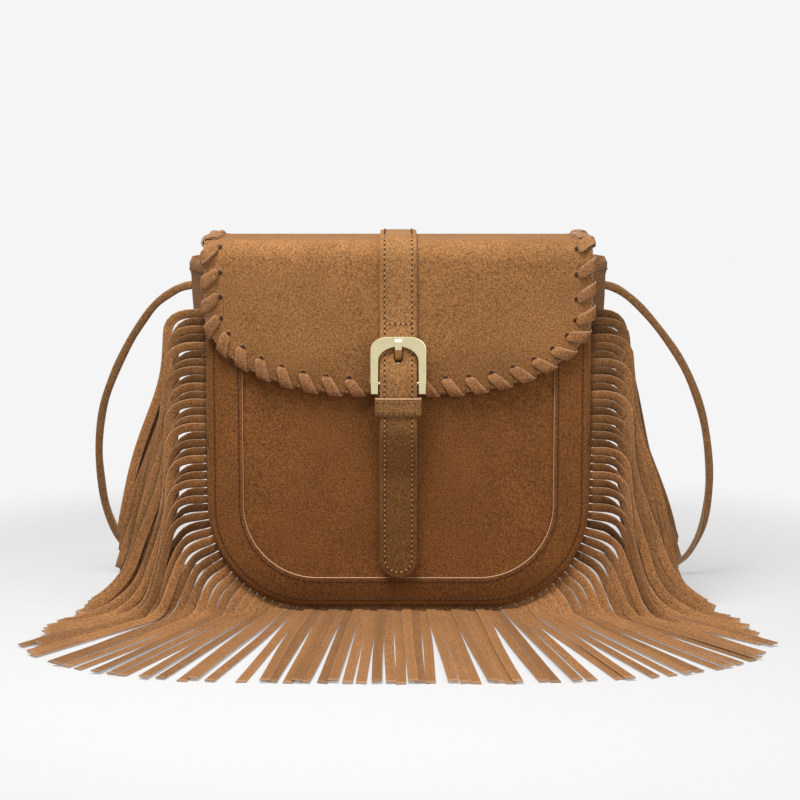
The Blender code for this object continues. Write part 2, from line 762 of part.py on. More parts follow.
def rod_mesh(name, radius, length, sides):
    build = bmesh.new()
    bmesh.ops.create_cone(
        build, cap_ends=True, segments=sides, radius1=radius, radius2=radius, depth=length
    )
    mesh = bpy.data.meshes.new(name)
    build.to_mesh(mesh)
    build.free()
    return mesh


def build_belt(into, cutters):
    """A folded strap with rounded edges, lofted along its profile to a round tip."""
    path = belt_profile()
    marks = lengths_along(path)
    end = marks[-1]
    half = BELT_WIDTH / 2
    stations = [(m, half) for m in marks if m < end - half * 0.9]
    for k in range(1, 6):
        turn = math.pi / 2 * k / 5.4
        stations.append((end - half * 0.85 * (1 - math.sin(turn)), half * math.cos(turn)))
    thick = BELT_THICK / 2
    soft = thick * 0.6
    points = []
    faces = []
    rings = []
    for along, wide in stations:
        section = (
            (-wide + soft, thick),
            (wide - soft, thick),
            (wide, thick - soft),
            (wide, soft - thick),
            (wide - soft, -thick),
            (-wide + soft, -thick),
            (-wide, soft - thick),
            (-wide, thick - soft),
        )
        start = len(points)
        for x, out in section:
            points.append(tuple(wrap_point(path, marks, x, along, out)))
        rings.append(range(start, start + 8))
    for a, b in zip(rings, rings[1:]):
        for j in range(8):
            faces.append((a[j], a[(j + 1) % 8], b[(j + 1) % 8], b[j]))
    faces.append(tuple(rings[0]))
    faces.append(tuple(rings[-1]))
    belt = object_from_faces("belt", points, faces, suede("belt_suede", 0.9), into)
    hole = hidden_cutter("belt_hole_cutter", rod_mesh("belt_hole", 1.0, 0.030, 12), cutters)
    for vertex in hole.data.vertices:
        vertex.co.x *= BELT_HOLE_WIDTH / 2
        vertex.co.y *= BELT_HOLE_HEIGHT / 2
    hole.location = (0.0, BELT_AT_BAR, BAR_HEIGHT + BELT_HOLE_RISE)
    hole.rotation_euler = (math.pi / 2, 0.0, 0.0)
    cut(belt, hole)


def build_buckle(into, cutters):
    half = FRAME_WIDTH / 2
    inner = half - FRAME_LEG
    height = FRAME_TOP - FRAME_BOTTOM
    top = height
    outer_r = half * 0.62
    outline = [(-half + 0.0004, 0.0), (-half, height * 0.3)]
    outline += arc(-half + outer_r, top - outer_r * 0.72, outer_r, outer_r * 0.72, math.pi, math.pi / 2, 8)
    outline += arc(half - outer_r, top - outer_r * 0.72, outer_r, outer_r * 0.72, math.pi / 2, 0, 8)
    outline += [(half, height * 0.3), (half - 0.0004, 0.0)]
    arch = top - FRAME_ARCH
    outline += [(inner + 0.0002, 0.0)]
    outline += arc(0.0, arch - inner * 0.72, inner, inner * 0.72, 0, math.pi, 14)
    outline += [(-inner - 0.0002, 0.0)]
    mesh = plate_mesh("buckle_frame", [outline], FRAME_THICK, 0.0005)
    frame = object_from_mesh(mesh, "buckle_frame", gold("buckle_gold"), into)
    belt_face = BELT_AT_BAR - BELT_THICK / 2
    frame_y = belt_face - 0.0002 + FRAME_THICK / 2
    frame.location = (0.0, frame_y, FRAME_BOTTOM)
    frame.rotation_euler = (math.pi / 2 - FRAME_TILT, 0.0, 0.0)

    lug_half = BAR_RADIUS + 0.0009
    for side in (-1, 1):
        middle = side * (inner + FRAME_LEG / 2)
        low = (middle - FRAME_LEG * 0.36, frame_y - 0.0004, BAR_HEIGHT - lug_half)
        high = (middle + FRAME_LEG * 0.36, BAR_Y + lug_half, BAR_HEIGHT + lug_half)
        name = "left" if side < 0 else "right"
        lug = hidden_cutter("buckle_lug_" + name, box_mesh("lug_" + name, low, high), cutters)
        cut(frame, lug, "UNION")
    bore = hidden_cutter(
        "buckle_bore_cutter", rod_mesh("buckle_bore", BAR_RADIUS + 0.00015, FRAME_WIDTH * 1.3, 16), cutters
    )
    bore.location = (0.0, BAR_Y, BAR_HEIGHT)
    bore.rotation_euler = (0.0, math.pi / 2, 0.0)
    cut(frame, bore)

    bar_length = 2 * (inner + FRAME_LEG * 0.80)
    mesh = rod_mesh("buckle_bar", BAR_RADIUS, bar_length, 16)
    bar = object_from_mesh(mesh, "buckle_bar", gold("bar_gold"), into)
    bar.location = (0.0, BAR_Y, BAR_HEIGHT)
    bar.rotation_euler = (0.0, math.pi / 2, 0.0)


def side_plate(name, loops, width, look, into):
    """A plate drawn as (y, z) and given its width along X."""
    made = object_from_mesh(plate_mesh(name, loops, width), name, look, into)
    made.rotation_euler = (math.pi / 2, 0.0, math.pi / 2)
    return made


def belt_level(height):
    """Middle of the belt's thickness at a height on its front run."""
    path = belt_profile()
    for a, b in zip(path, path[1:]):
        if a.x < 0 and b.y <= height <= a.y:
            return a.x + (b.x - a.x) * (a.y - height) / (a.y - b.y)
    return BELT_AT_BAR


def build_prong(into):
    """The tongue: a barrel round the bar, a shank behind the belt, and a tip on the frame."""
    inner = BAR_RADIUS + GAP
    outer = inner + CHAPE_THICK * 0.9
    low_z = BAR_HEIGHT + BELT_HOLE_RISE - BELT_HOLE_HEIGHT / 2 + PRONG_THICK / 2
    behind = belt_level(low_z) + BELT_THICK / 2 + 3 * GAP
    frame_face = BELT_AT_BAR - BELT_THICK / 2 - 0.0002
    tip_z = FRAME_TOP - FRAME_ARCH * 0.36
    tip_y = frame_face + math.tan(FRAME_TILT) * (tip_z - FRAME_BOTTOM) - 2 * GAP
    arch_z = FRAME_TOP - FRAME_ARCH
    barrel = arc(BAR_Y, BAR_HEIGHT, outer, outer, math.radians(125), math.radians(360 + 50), 14)
    outline = barrel[:]
    outline += [(behind + PRONG_THICK, low_z + 0.0002), (tip_y, arch_z - 0.0008), (tip_y, tip_z)]
    outline += [(tip_y - PRONG_THICK * 0.6, tip_z + 0.0005), (tip_y - PRONG_THICK, tip_z - 0.0006)]
    outline += [(tip_y - PRONG_THICK, arch_z - 0.0016), (behind, low_z - 0.0004)]
    hole = arc(BAR_Y, BAR_HEIGHT, inner, inner, 0, 2 * math.pi, 12)[:-1]
    side_plate("buckle_prong", [outline, hole], PRONG_WIDTH, gold("prong_gold"), into)


def build_chape(into, cutters):
    """A strip folded round the bar, both layers running down through the keeper."""
    front = BAR_Y - CHAPE_OUTER
    back = BAR_Y + CHAPE_OUTER
    loop = arc(BAR_Y, BAR_HEIGHT, CHAPE_OUTER, CHAPE_OUTER, 0, math.pi, 10)
    neck = KEEPER_MIDDLE + KEEPER_HEIGHT / 2 + CHAPE_NECK
    end = BAR_HEIGHT - CHAPE_LENGTH
    double = 2 * CHAPE_THICK
    outline = loop + [(front, end), (front + double, end)]
    outline += [(front + double, neck), (back, BAR_HEIGHT - 0.003)]
    hole = arc(BAR_Y, BAR_HEIGHT, CHAPE_INNER, CHAPE_INNER, 0, 2 * math.pi, 12)[:-1]
    look = suede("chape_suede", 0.8)
    chape = side_plate("buckle_chape", [outline, hole], CHAPE_WIDTH, look, into)
    slot_half = PRONG_WIDTH / 2 + GAP + 0.0003
    low = (-slot_half, front - 0.002, BAR_HEIGHT - CHAPE_OUTER - 0.0008)
    high = (slot_half, back + 0.002, BAR_HEIGHT + CHAPE_OUTER + 0.002)
    slot = hidden_cutter("chape_slot_cutter", box_mesh("chape_slot", low, high), cutters)
    cut(chape, slot)


def build_keeper(into):
    """A closed loop round belt and chape, its front face slightly crowned."""
    half = KEEPER_WIDTH / 2
    front = BELT_AT_BAR - BELT_THICK / 2 - GAP
    back = BAR_Y - CHAPE_OUTER + 2 * CHAPE_THICK + GAP
    wall = KEEPER_THICK
    inner_half = half - wall

    def ring(wide, y_front, y_back, radius, crown):
        points = arc(-wide + radius, y_front + radius, radius, radius, math.pi, 1.5 * math.pi, 3)
        points += [(0.0, y_front - crown)]
        points += arc(wide - radius, y_front + radius, radius, radius, 1.5 * math.pi, 2 * math.pi, 3)
        points += arc(wide - radius, y_back - radius, radius, radius, 0, math.pi / 2, 3)
        points += arc(-wide + radius, y_back - radius, radius, radius, math.pi / 2, math.pi, 3)
        return points

    outside = ring(half, front - wall, back + wall, 0.0024, 0.0004)
    inside = ring(inner_half, front, back, 0.0011, 0.0004)
    mesh = plate_mesh("keeper", [outside, inside], KEEPER_HEIGHT)
    keeper = object_from_mesh(mesh, "keeper", suede("keeper_suede", 0.8), into)
    keeper.location = (0.0, 0.0, KEEPER_MIDDLE)


def turned_disc(name, profile, look, into, y):
    """A Screw of a profile (radius, depth), laid with its axis along Y."""
    mesh = bpy.data.meshes.new(name)
    mesh.from_pydata([(r, 0.0, z) for r, z in profile], [(k, k + 1) for k in range(len(profile) - 1)], [])
    made = object_from_mesh(mesh, name, look, into)
    screw = made.modifiers.new("turn", "SCREW")
    screw.steps = 20
    screw.render_steps = 20
    screw.use_merge_vertices = True
    screw.merge_threshold = 0.00005
    made.rotation_euler = (math.pi / 2, 0.0, 0.0)
    made.location = (0.0, y, SNAP_HEIGHT)
    return made


def build_snap(into):
    look = gold("snap_metal")
    r = SNAP_RADIUS
    t = SNAP_THICK
    socket = [(0.0, t), (r * 0.55, t), (r * 0.62, t * 0.86), (r * 0.92, t * 0.86)]
    socket += [(r, t * 0.45), (r, 0.0), (0.0, 0.0)]
    turned_disc("snap_socket", socket, look, into, PANEL_FRONT - GAP)
    stud = [(0.0, t), (r, t), (r, t * 0.55), (r * 0.9, t * 0.14), (r * 0.6, 0.0), (0.0, 0.0)]
    turned_disc("snap_stud", stud, look, into, FLAP_MIDDLE + FLAP_THICK / 2 + GAP + t)


def smooth_route(route, spacing):
    """A Catmull-Rom curve through the route, cut into points closer together where it bends."""
    knots = [Vector(p) for p in route]
    knots = [2 * knots[0] - knots[1]] + knots + [2 * knots[-1] - knots[-2]]
    fine = []
    for a, b, c, d in zip(knots, knots[1:], knots[2:], knots[3:]):
        for k in range(24):
            t = k / 24
            point = 2 * b + (c - a) * t + (2 * a - 5 * b + 4 * c - d) * t * t
            point += (3 * b - a - 3 * c + d) * t * t * t
            fine.append(point / 2)
    fine.append(knots[-2])
    picked = [fine[0]]
    turn = 0.0
    length = 0.0
    for before, here, after in zip(fine, fine[1:], fine[2:]):
        turn += (here - before).angle(after - here, 0.0)
        length += (here - before).length
        if length >= spacing or (turn > math.radians(20) and length > spacing * 0.6):
            picked.append(here)
            turn = 0.0
            length = 0.0
    if (picked[-1] - fine[-1]).length < spacing * 0.5:
        picked.pop()
    picked.append(fine[-1])
    return picked


def build_strap(into):
    """The strap: out of the back seam, down each side in an arc, and folded flat behind the bag."""
    seam = (BODY_WIDTH / 2 + 0.0069, 0.0210, 0.1993)
    left = [
        (-seam[0], seam[1], seam[2]),
        (-0.1355, 0.0235, 0.1972),
        (-0.1450, 0.0268, 0.1925),
        (-0.1552, 0.0317, 0.1846),
        (-0.1643, 0.0373, 0.1731),
        (-0.1742, 0.0427, 0.1577),
        (-0.1849, 0.0480, 0.1362),
        (-0.1924, 0.0532, 0.1152),
        (-0.1962, 0.0583, 0.0893),
        (-0.1957, 0.0633, 0.0651),
        (-0.1931, 0.0683, 0.0454),
        (-0.1861, 0.0732, 0.0262),
        (-0.1765, 0.0775, 0.0130),
        (-0.1640, 0.0805, 0.0052),
        (-0.1500, 0.0825, STRAP_LIE),
    ]
    folds = [(-0.100, 0.083), (-0.050, 0.081), (0.0, 0.080), (0.040, 0.081), (0.068, 0.087)]
    folds += [(0.083, 0.103), (0.071, 0.121), (0.040, 0.126), (0.0, 0.126), (-0.040, 0.127)]
    folds += [(-0.071, 0.132), (-0.083, 0.150), (-0.066, 0.166), (-0.030, 0.171), (0.040, 0.170)]
    folds += [(0.094, 0.163), (0.126, 0.144), (0.140, 0.118), (0.150, 0.096), (0.163, 0.083)]
    right = [
        (0.1760, 0.0775, 0.0040),
        (0.1870, 0.0736, 0.0085),
        (0.1950, 0.0691, 0.0189),
        (0.2014, 0.0645, 0.0360),
        (0.2040, 0.0600, 0.0577),
        (0.2032, 0.0553, 0.0798),
        (0.1988, 0.0506, 0.1064),
        (0.1913, 0.0458, 0.1287),
        (0.1819, 0.0410, 0.1475),
        (0.1688, 0.0359, 0.1662),
        (0.1552, 0.0308, 0.1821),
        (0.1440, 0.0262, 0.1920),
        (0.1345, 0.0235, 0.1972),
        seam,
    ]
    points = smooth_route(left + [(x, y, STRAP_LIE) for x, y in folds] + right, STRAP_SPACING)
    curve = bpy.data.curves.new("shoulder_strap", "CURVE")
    curve.dimensions = "3D"
    curve.bevel_depth = STRAP_THICK / 2
    curve.bevel_resolution = 2
    curve.use_fill_caps = True
    spline = curve.splines.new("POLY")
    spline.points.add(len(points) - 1)
    for point, place in zip(spline.points, points):
        point.co = (*place, 1.0)
    strap = bpy.data.objects.new("shoulder_strap", curve)
    curve.materials.append(suede("strap_suede", 0.9))
    into.objects.link(strap)


def parent_to_flap(into):
    """The flap and all it carries hang on an empty at the hinge fold."""
    hinge = bpy.data.objects.new("flap_hinge", None)
    hinge.location = (0.0, HINGE_Y, HINGE_Z)
    into.objects.link(hinge)
    bpy.context.view_layer.update()
    moving = ("flap", "flap_lacing", "belt", "buckle_frame", "buckle_bar", "buckle_prong")
    moving += ("buckle_chape", "keeper", "snap_stud")
    for name in moving:
        made = bpy.data.objects[name]
        made.parent = hinge
        made.matrix_parent_inverse = hinge.matrix_world.inverted()


def main():
    clear_scene()
    bag = collection_named(COLLECTION)
    cutters = collection_named("cutters")
    cutters.hide_render = True
    build_panels(bag)
    build_gusset(bag)
    build_lining(bag)
    build_fringe(bag)
    build_flap(bag)
    build_belt(bag, cutters)
    build_buckle(bag, cutters)
    build_prong(bag)
    build_chape(bag, cutters)
    build_keeper(bag)
    build_snap(bag)
    build_strap(bag)
    parent_to_flap(bag)


main()
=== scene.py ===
import random
from itertools import accumulate
from math import acos, asin, atan2, ceil, cos, floor, hypot, pi, radians, sin, sqrt, tan, tau

import bmesh
import bpy
from mathutils import Matrix, Quaternion, Vector, noise


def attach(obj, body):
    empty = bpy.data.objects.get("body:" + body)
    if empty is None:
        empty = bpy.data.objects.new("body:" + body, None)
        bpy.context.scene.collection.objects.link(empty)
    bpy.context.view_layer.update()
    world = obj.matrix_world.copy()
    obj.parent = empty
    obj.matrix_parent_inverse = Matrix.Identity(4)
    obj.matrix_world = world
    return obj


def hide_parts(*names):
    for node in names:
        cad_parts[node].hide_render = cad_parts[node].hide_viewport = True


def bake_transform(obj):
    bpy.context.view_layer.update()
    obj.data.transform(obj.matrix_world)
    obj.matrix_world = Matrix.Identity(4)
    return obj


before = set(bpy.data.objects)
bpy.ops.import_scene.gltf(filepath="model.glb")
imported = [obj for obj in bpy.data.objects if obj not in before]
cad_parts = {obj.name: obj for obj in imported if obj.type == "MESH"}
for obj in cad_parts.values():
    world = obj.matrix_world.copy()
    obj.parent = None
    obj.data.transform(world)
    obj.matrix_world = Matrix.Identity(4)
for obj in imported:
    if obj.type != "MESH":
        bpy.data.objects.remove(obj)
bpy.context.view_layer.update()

# Sizes of the part, in metres
BODY_WIDTH = 0.232
HALF_BODY = BODY_WIDTH / 2
BODY_DEPTH = 0.07
MOUTH = 0.218
LIFT = 0.005
RADIUS = 0.062
LEATHER = 0.002
GAP = 0.0003
FRONT = -BODY_DEPTH / 2
BACK = BODY_DEPTH / 2
BORDER_THICK = 0.0016
BORDER_FACE = FRONT - GAP - BORDER_THICK
FLAP_THICK = 0.0024
FLAP_BOTTOM = 0.1375
FLAP_CURVE_START = 0.187
FLAP_CURVE_WIDTH = 0.093
FLAP_HALF = 0.1175
FLAP_MIDDLE = BORDER_FACE - 0.0009 - 0.0012 - GAP - FLAP_THICK / 2
ROOF_MIDDLE = 0.2305 - FLAP_THICK / 2
HINGE_HEIGHT = MOUTH + 0.00065
BELT_WIDTH = 0.0226
BELT_THICK = 0.0028
BELT_OFFSET = FLAP_THICK / 2 + GAP + BELT_THICK / 2
BAR_RADIUS = 0.0011
CHAPE_THICK = 0.0011
CHAPE_OUTER = BAR_RADIUS + GAP + CHAPE_THICK
BAR_Y = FLAP_MIDDLE - FLAP_THICK / 2 - GAP - 0.0012 - 0.0008 - CHAPE_OUTER
BAR_Z = 0.1445
BELT_AT_BAR = BAR_Y - CHAPE_OUTER - GAP - BELT_THICK / 2
UP = Vector((0, 0, 1))
chance = random.Random(11)


def new_object(name, data):
    made = bpy.data.objects.new(name, data)
    bpy.context.scene.collection.objects.link(made)
    return made


# Camera at the photograph's angle
lens = bpy.data.cameras.new("camera")
lens.lens = 100.4
lens.clip_start = 0.05
camera = new_object("camera", lens)
camera.location = (0.001, -1.385, 0.3225)
camera.rotation_euler = (radians(90 - 8), 0, 0)
bpy.context.scene.camera = camera


# Maths shared by the pieces
def smooth(x):
    x = min(1, max(0, x))
    return x * x * (3 - 2 * x)


def mix(a, b, t):
    return a + (b - a) * t


def catmull(knots, steps):
    """Points of a smooth curve through the knots, each a tuple of numbers."""
    first = tuple(2 * a - b for a, b in zip(knots[0], knots[1]))
    last = tuple(2 * a - b for a, b in zip(knots[-1], knots[-2]))
    full = [first] + list(knots) + [last]
    found = []
    for p, q, r, s in zip(full, full[1:], full[2:], full[3:]):
        for k in range(steps):
            t = k / steps
            found.append(tuple(
                (2 * b + (c - a) * t + (2 * a - 5 * b + 4 * c - d) * t * t
                 + (3 * b - a - 3 * c + d) * t ** 3) / 2
                for a, b, c, d in zip(p, q, r, s)
            ))
    found.append(tuple(knots[-1]))
    return found


def arc(cx, cy, rx, ry, start, end, steps):
    turn = [start + (end - start) * i / steps for i in range(steps + 1)]
    return [(cx + rx * cos(a), cy + ry * sin(a)) for a in turn]


def filleted(corners, radii, steps):
    path = [Vector(corners[0])]
    for before, corner, after, radius in zip(corners, corners[1:], corners[2:], radii):
        a = (Vector(before) - Vector(corner)).normalized()
        b = (Vector(after) - Vector(corner)).normalized()
        half = acos(max(-1, min(1, a.dot(b)))) / 2
        back = radius / tan(half)
        centre = Vector(corner) + (a + b).normalized() * radius / sin(half)
        first = Vector(corner) + a * back - centre
        last = Vector(corner) + b * back - centre
        turn = atan2(first.x * last.y - first.y * last.x, first.dot(last))
        for k in range(steps + 1):
            angle = turn * k / steps
            c, s = cos(angle), sin(angle)
            path.append(centre + Vector((first.x * c - first.y * s, first.x * s + first.y * c)))
    path.append(Vector(corners[-1]))
    return path


def distances(points):
    """How far each point lies along its line."""
    return [0, *accumulate((b - a).length for a, b in zip(points, points[1:]))]


class Profile:
    """A bent line in the (y, z) plane that flat patterns are wrapped round."""

    def __init__(self, points, spacing=0.0012):
        marks = distances(points)
        self.length = marks[-1]
        n = int(self.length / spacing)
        self.step = self.length / n
        self.points = []
        k = 0
        for i in range(n + 1):
            at = i * self.step
            while k < len(points) - 2 and at > marks[k + 1]:
                k += 1
            span = max(1e-9, marks[k + 1] - marks[k])
            self.points.append(points[k].lerp(points[k + 1], (at - marks[k]) / span))
        for _ in range(4):
            inner = [(a + 2 * b + c) / 4 for a, b, c in zip(self.points, self.points[1:], self.points[2:])]
            self.points = [self.points[0]] + inner + [self.points[-1]]

    def at(self, along):
        x = min(max(along / self.step, 0), len(self.points) - 1.001)
        k = int(x)
        t = x - k
        place = self.points[k].lerp(self.points[k + 1], t)
        a = self.points[max(0, k - 1)]
        b = self.points[min(len(self.points) - 1, k + 2)]
        direction = (b - a).normalized()
        return place + direction * (along - min(max(along, 0), self.length)), direction

    def wrap(self, x, along, out):
        place, direction = self.at(along)
        return Vector((x, place.x + direction.y * out, place.y - direction.x * out))


# Meshes
def piece(name, shape, look, body, node, stands_in=True, **attributes):
    """An object of points and faces that rides a body; where it stands in for a CAD node, that node is
    hidden.
    """
    points, faces = shape
    mesh = bpy.data.meshes.new(name)
    mesh.from_pydata([tuple(p) for p in points], [], faces)
    for key, values in attributes.items():
        mesh.attributes.new(key, "FLOAT", "POINT").data.foreach_set("value", values)
    build = bmesh.new()
    build.from_mesh(mesh)
    bmesh.ops.remove_doubles(build, verts=build.verts, dist=1e-7)
    bmesh.ops.recalc_face_normals(build, faces=build.faces)
    if build.calc_volume(signed=True) < 0:
        bmesh.ops.reverse_faces(build, faces=build.faces)
    build.to_mesh(mesh)
    build.free()
    mesh.polygons.foreach_set("use_smooth", [True] * len(mesh.polygons))
    mesh.materials.append(look)
    made = new_object(name, mesh)
    if body:
        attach(made, body)
    if stands_in:
        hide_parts(node)
    return made


def soft_plate(us, vs, place, thick, distance):
    """Points and faces of a plate with rounded edges over a grid. place(u, v, out) gives a point."""
    rows, cols = len(vs), len(us)
    points = []
    for side in (1, -1):
        for v in vs:
            for u in us:
                near = min(1, max(0, distance(u, v)) / (thick / 2))
                out = side * thick / 2 * sqrt(max(0, 1 - (1 - near) ** 2))
                points.append(place(u, v, out))
    faces = []
    n = rows * cols
    for r in range(rows - 1):
        for c in range(cols - 1):
            a = r * cols + c
            faces.append((a, a + 1, a + cols + 1, a + cols))
            faces.append((n + a, n + a + cols, n + a + cols + 1, n + a + 1))
    return points, faces


def sweep(rings, caps=True):
    """Points and faces of a closed section carried along a path."""
    points = [p for ring in rings for p in ring]
    n = len(rings[0])
    faces = []
    for k in range(len(rings) - 1):
        a, b = k * n, (k + 1) * n
        for j in range(n):
            i = (j + 1) % n
            faces.append((a + j, a + i, b + i, b + j))
    if caps:
        faces.append(tuple(range(n)))
        faces.append(tuple(range(len(points) - n, len(points))))
    return points, faces


def joined(parts):
    points, faces = [], []
    for p, f in parts:
        start = len(points)
        points.extend(p)
        faces.extend(tuple(start + i for i in face) for face in f)
    return points, faces


# How far along a stitch, how high and how thick it is there, as shares of its length and width
SPINDLE = ((-0.5, -0.55, 0.35), (-0.36, 0.1, 0.85), (0, 0.42, 1), (0.36, 0.1, 0.85), (0.5, -0.55, 0.35))


def thread(point, along, up, length, width):
    """One stitch: a short spindle, sunk into the surface at both ends."""
    along = Vector(along).normalized()
    up = Vector(up).normalized()
    side = along.cross(up)
    rings = []
    for t, lift, fat in SPINDLE:
        centre = Vector(point) + along * length * t + up * width * lift
        ring = []
        for k in range(6):
            a = tau * k / 6
            ring.append(centre + (side * cos(a) + up * sin(a) * 0.8) * width / 2 * fat)
        rings.append(ring)
    return sweep(rings)


def stitch_row(line, pitch, length=0.0024, width=0.00062, start=0.5):
    """Stitches at an even pitch along a line of (point, up) pairs."""
    parts = []
    carry = pitch * start
    for (a, up_a), (b, up_b) in zip(line, line[1:]):
        a, b = Vector(a), Vector(b)
        span = (b - a).length
        while carry < span:
            t = carry / span
            up = Vector(up_a).lerp(Vector(up_b), t)
            parts.append(thread(a.lerp(b, t), b - a, up, length, width))
            carry += pitch
        carry -= span
    return parts


# Materials
def wire(tree, node, inputs):
    """Sets each input of a node, or links it where the value is the output of another node."""
    for key, value in inputs.items():
        if isinstance(value, bpy.types.NodeSocket):
            tree.links.new(value, node.inputs[key])
        else:
            node.inputs[key].default_value = value
    return node


def add(tree, kind, inputs, **settings):
    made = tree.nodes.new("ShaderNode" + kind)
    for key, value in settings.items():
        setattr(made, key, value)
    return wire(tree, made, inputs)


def new_material(name):
    made = bpy.data.materials.new(name)
    made.use_nodes = True
    tree = made.node_tree
    return made, tree, tree.nodes["Principled BSDF"]


def noise_node(tree, scale, detail, rough=0.55, distortion=0, stretch=None):
    out = add(tree, "TexCoord", {}).outputs["Object"]
    if stretch:
        out = add(tree, "Mapping", {"Vector": out, "Scale": stretch}).outputs["Vector"]
    made = add(tree, "TexNoise", {
        "Vector": out, "Scale": scale, "Detail": detail, "Roughness": rough, "Distortion": distortion,
    })
    return made.outputs["Fac"]


def ramp_node(tree, source, *stops):
    """A ramp between two stops, each a position and a grey tone or a colour."""
    made = add(tree, "ValToRGB", {"Fac": source})
    for element, (at, tone) in zip(made.color_ramp.elements, stops):
        element.position = at
        element.color = (*(tone if isinstance(tone, tuple) else (tone,) * 3), 1)
    return made.outputs["Color"]


def blend_node(tree, kind, factor, a, b):
    b = (*b, 1) if isinstance(b, tuple) else b
    return add(tree, "Mix", {0: factor, 6: a, 7: b}, data_type="RGBA", blend_type=kind).outputs[2]


def bump_node(tree, height, strength, distance, under=None):
    inputs = {"Height": height, "Strength": strength, "Distance": distance}
    if under:
        inputs["Normal"] = under
    return add(tree, "Bump", inputs).outputs["Normal"]


def scaled(colour, share):
    return tuple(min(1, c * share) for c in colour)


def linear(rgb):
    return tuple(((c / 255 + 0.055) / 1.055) ** 2.4 if c > 10 else c / 255 / 12.92 for c in rgb)


def suede(name, rgb, fade=None):
    """Napped leather: broad patches, mottling and fine lighter fibres.

    The mesh's attributes mark pale cut edges, partly the edge's own paler colour and partly a painted
    highlight where light catches it, and darker places (tone), which hold each fringe strip's random darker
    tone and painted shade. fade gives (height, share) twice: the piece grows darker from the upper to the
    lower one, a painted shade for light falling from above.
    """
    made, tree, shader = new_material(name)
    base = linear(rgb)
    broad = noise_node(tree, 24, 4, 0.6, 0.6)
    colour = ramp_node(tree, broad, (0.32, scaled(base, 0.89)), (0.68, scaled(base, 1.11)))
    mottle = noise_node(tree, 950, 4, 0.7)
    colour = blend_node(tree, "MULTIPLY", 1, colour, ramp_node(tree, mottle, (0.36, 0.44), (0.64, 1.54)))
    grain = noise_node(tree, 2000, 3, 0.65)
    speck = ramp_node(tree, grain, (0.54, 0), (0.72, 1))
    speck = add(tree, "Math", {0: speck, 1: 0.6}, operation="MULTIPLY").outputs[0]
    fibre = tuple(min(1, c * k) for c, k in zip(base, (2.1, 2.1, 1.9)))
    colour = blend_node(tree, "MIX", speck, colour, fibre)
    colour = blend_node(tree, "MULTIPLY", 0.85, colour, ramp_node(tree, grain, (0.28, 0.45), (0.44, 1)))
    # Painted shade: the piece grows darker towards its lower part, standing in for light falling from above.
    if fade:
        (bottom, share), (top, full) = fade
        where = add(tree, "TexCoord", {}).outputs["Object"]
        height = add(tree, "SeparateXYZ", {0: where}).outputs["Z"]
        span = {"Value": height, "From Min": bottom, "From Max": top}
        height = add(tree, "MapRange", span, interpolation_type="SMOOTHSTEP").outputs["Result"]
        low = tuple(share ** k for k in (1, 1.15, 1.5))
        colour = blend_node(tree, "MULTIPLY", 1, colour, ramp_node(tree, height, (0, low), (1, full)))
    cut, tone = (add(tree, "Attribute", {}, attribute_name=key).outputs["Fac"] for key in ("cut", "tone"))
    # Pale cut edges: mixed toward one pale colour, partly the edges' own colour and partly a painted
    # highlight where light catches them.
    colour = blend_node(tree, "MIX", cut, colour, (0.7, 0.46, 0.3))
    # tone darkens by each fringe strip's random tone and by painted shade.
    colour = blend_node(tree, "MULTIPLY", 1, colour, ramp_node(tree, tone, (0, 1), (1, 0.38)))
    fine = bump_node(tree, grain, 0.55, 0.0004)
    wire(tree, shader, {
        "Base Color": colour, "Roughness": 0.93, "Specular IOR Level": 0.12, "Sheen Weight": 0.1,
        "Sheen Roughness": 0.55, "Sheen Tint": (0.95, 0.78, 0.6, 1),
        "Normal": bump_node(tree, mottle, 0.35, 0.001, fine),
    })
    return made


def metal(name, rgb, rough):
    """Pale gold plating with fine rubbing marks and slightly duller patches."""
    made, tree, shader = new_material(name)
    base = linear(rgb)
    marks = noise_node(tree, 900, 3, 0.6, 0, (1, 1, 6))
    wire(tree, shader, {
        "Base Color": ramp_node(tree, noise_node(tree, 160, 4), (0.3, scaled(base, 0.88)), (0.7, base)),
        "Metallic": 1,
        "Roughness": ramp_node(tree, marks, (0.3, rough * 0.8), (0.7, rough * 1.35)),
        "Normal": bump_node(tree, marks, 0.06, 0.0002),
    })
    return made


def cloth(name, rgb):
    """Plain woven lining: fine crossing threads."""
    made, tree, shader = new_material(name)
    base = linear(rgb)
    where = add(tree, "TexCoord", {}).outputs["Object"]
    threads = {"Vector": where, "Scale": 420, "Distortion": 1.2, "Detail": 1}
    waves = [add(tree, "TexWave", threads, bands_direction=way).outputs["Fac"] for way in ("X", "Z")]
    weave = add(tree, "Math", {0: waves[0], 1: waves[1]}, operation="MULTIPLY").outputs[0]
    wire(tree, shader, {
        "Base Color": ramp_node(tree, weave, (0, scaled(base, 0.6)), (0.8, scaled(base, 1.25))),
        "Roughness": 0.85, "Normal": bump_node(tree, weave, 0.4, 0.0003),
    })
    return made


def flat_tone(name, rgb, rough=0.8):
    """Waxed thread, or the painted shade of a hole: one tone broken up by a fine noise."""
    made, tree, shader = new_material(name)
    base = linear(rgb)
    fuzz = noise_node(tree, 1500, 3)
    colour = ramp_node(tree, fuzz, (0.3, scaled(base, 0.65)), (0.7, scaled(base, 1.25)))
    wire(tree, shader, {"Base Color": colour, "Roughness": rough})
    return made
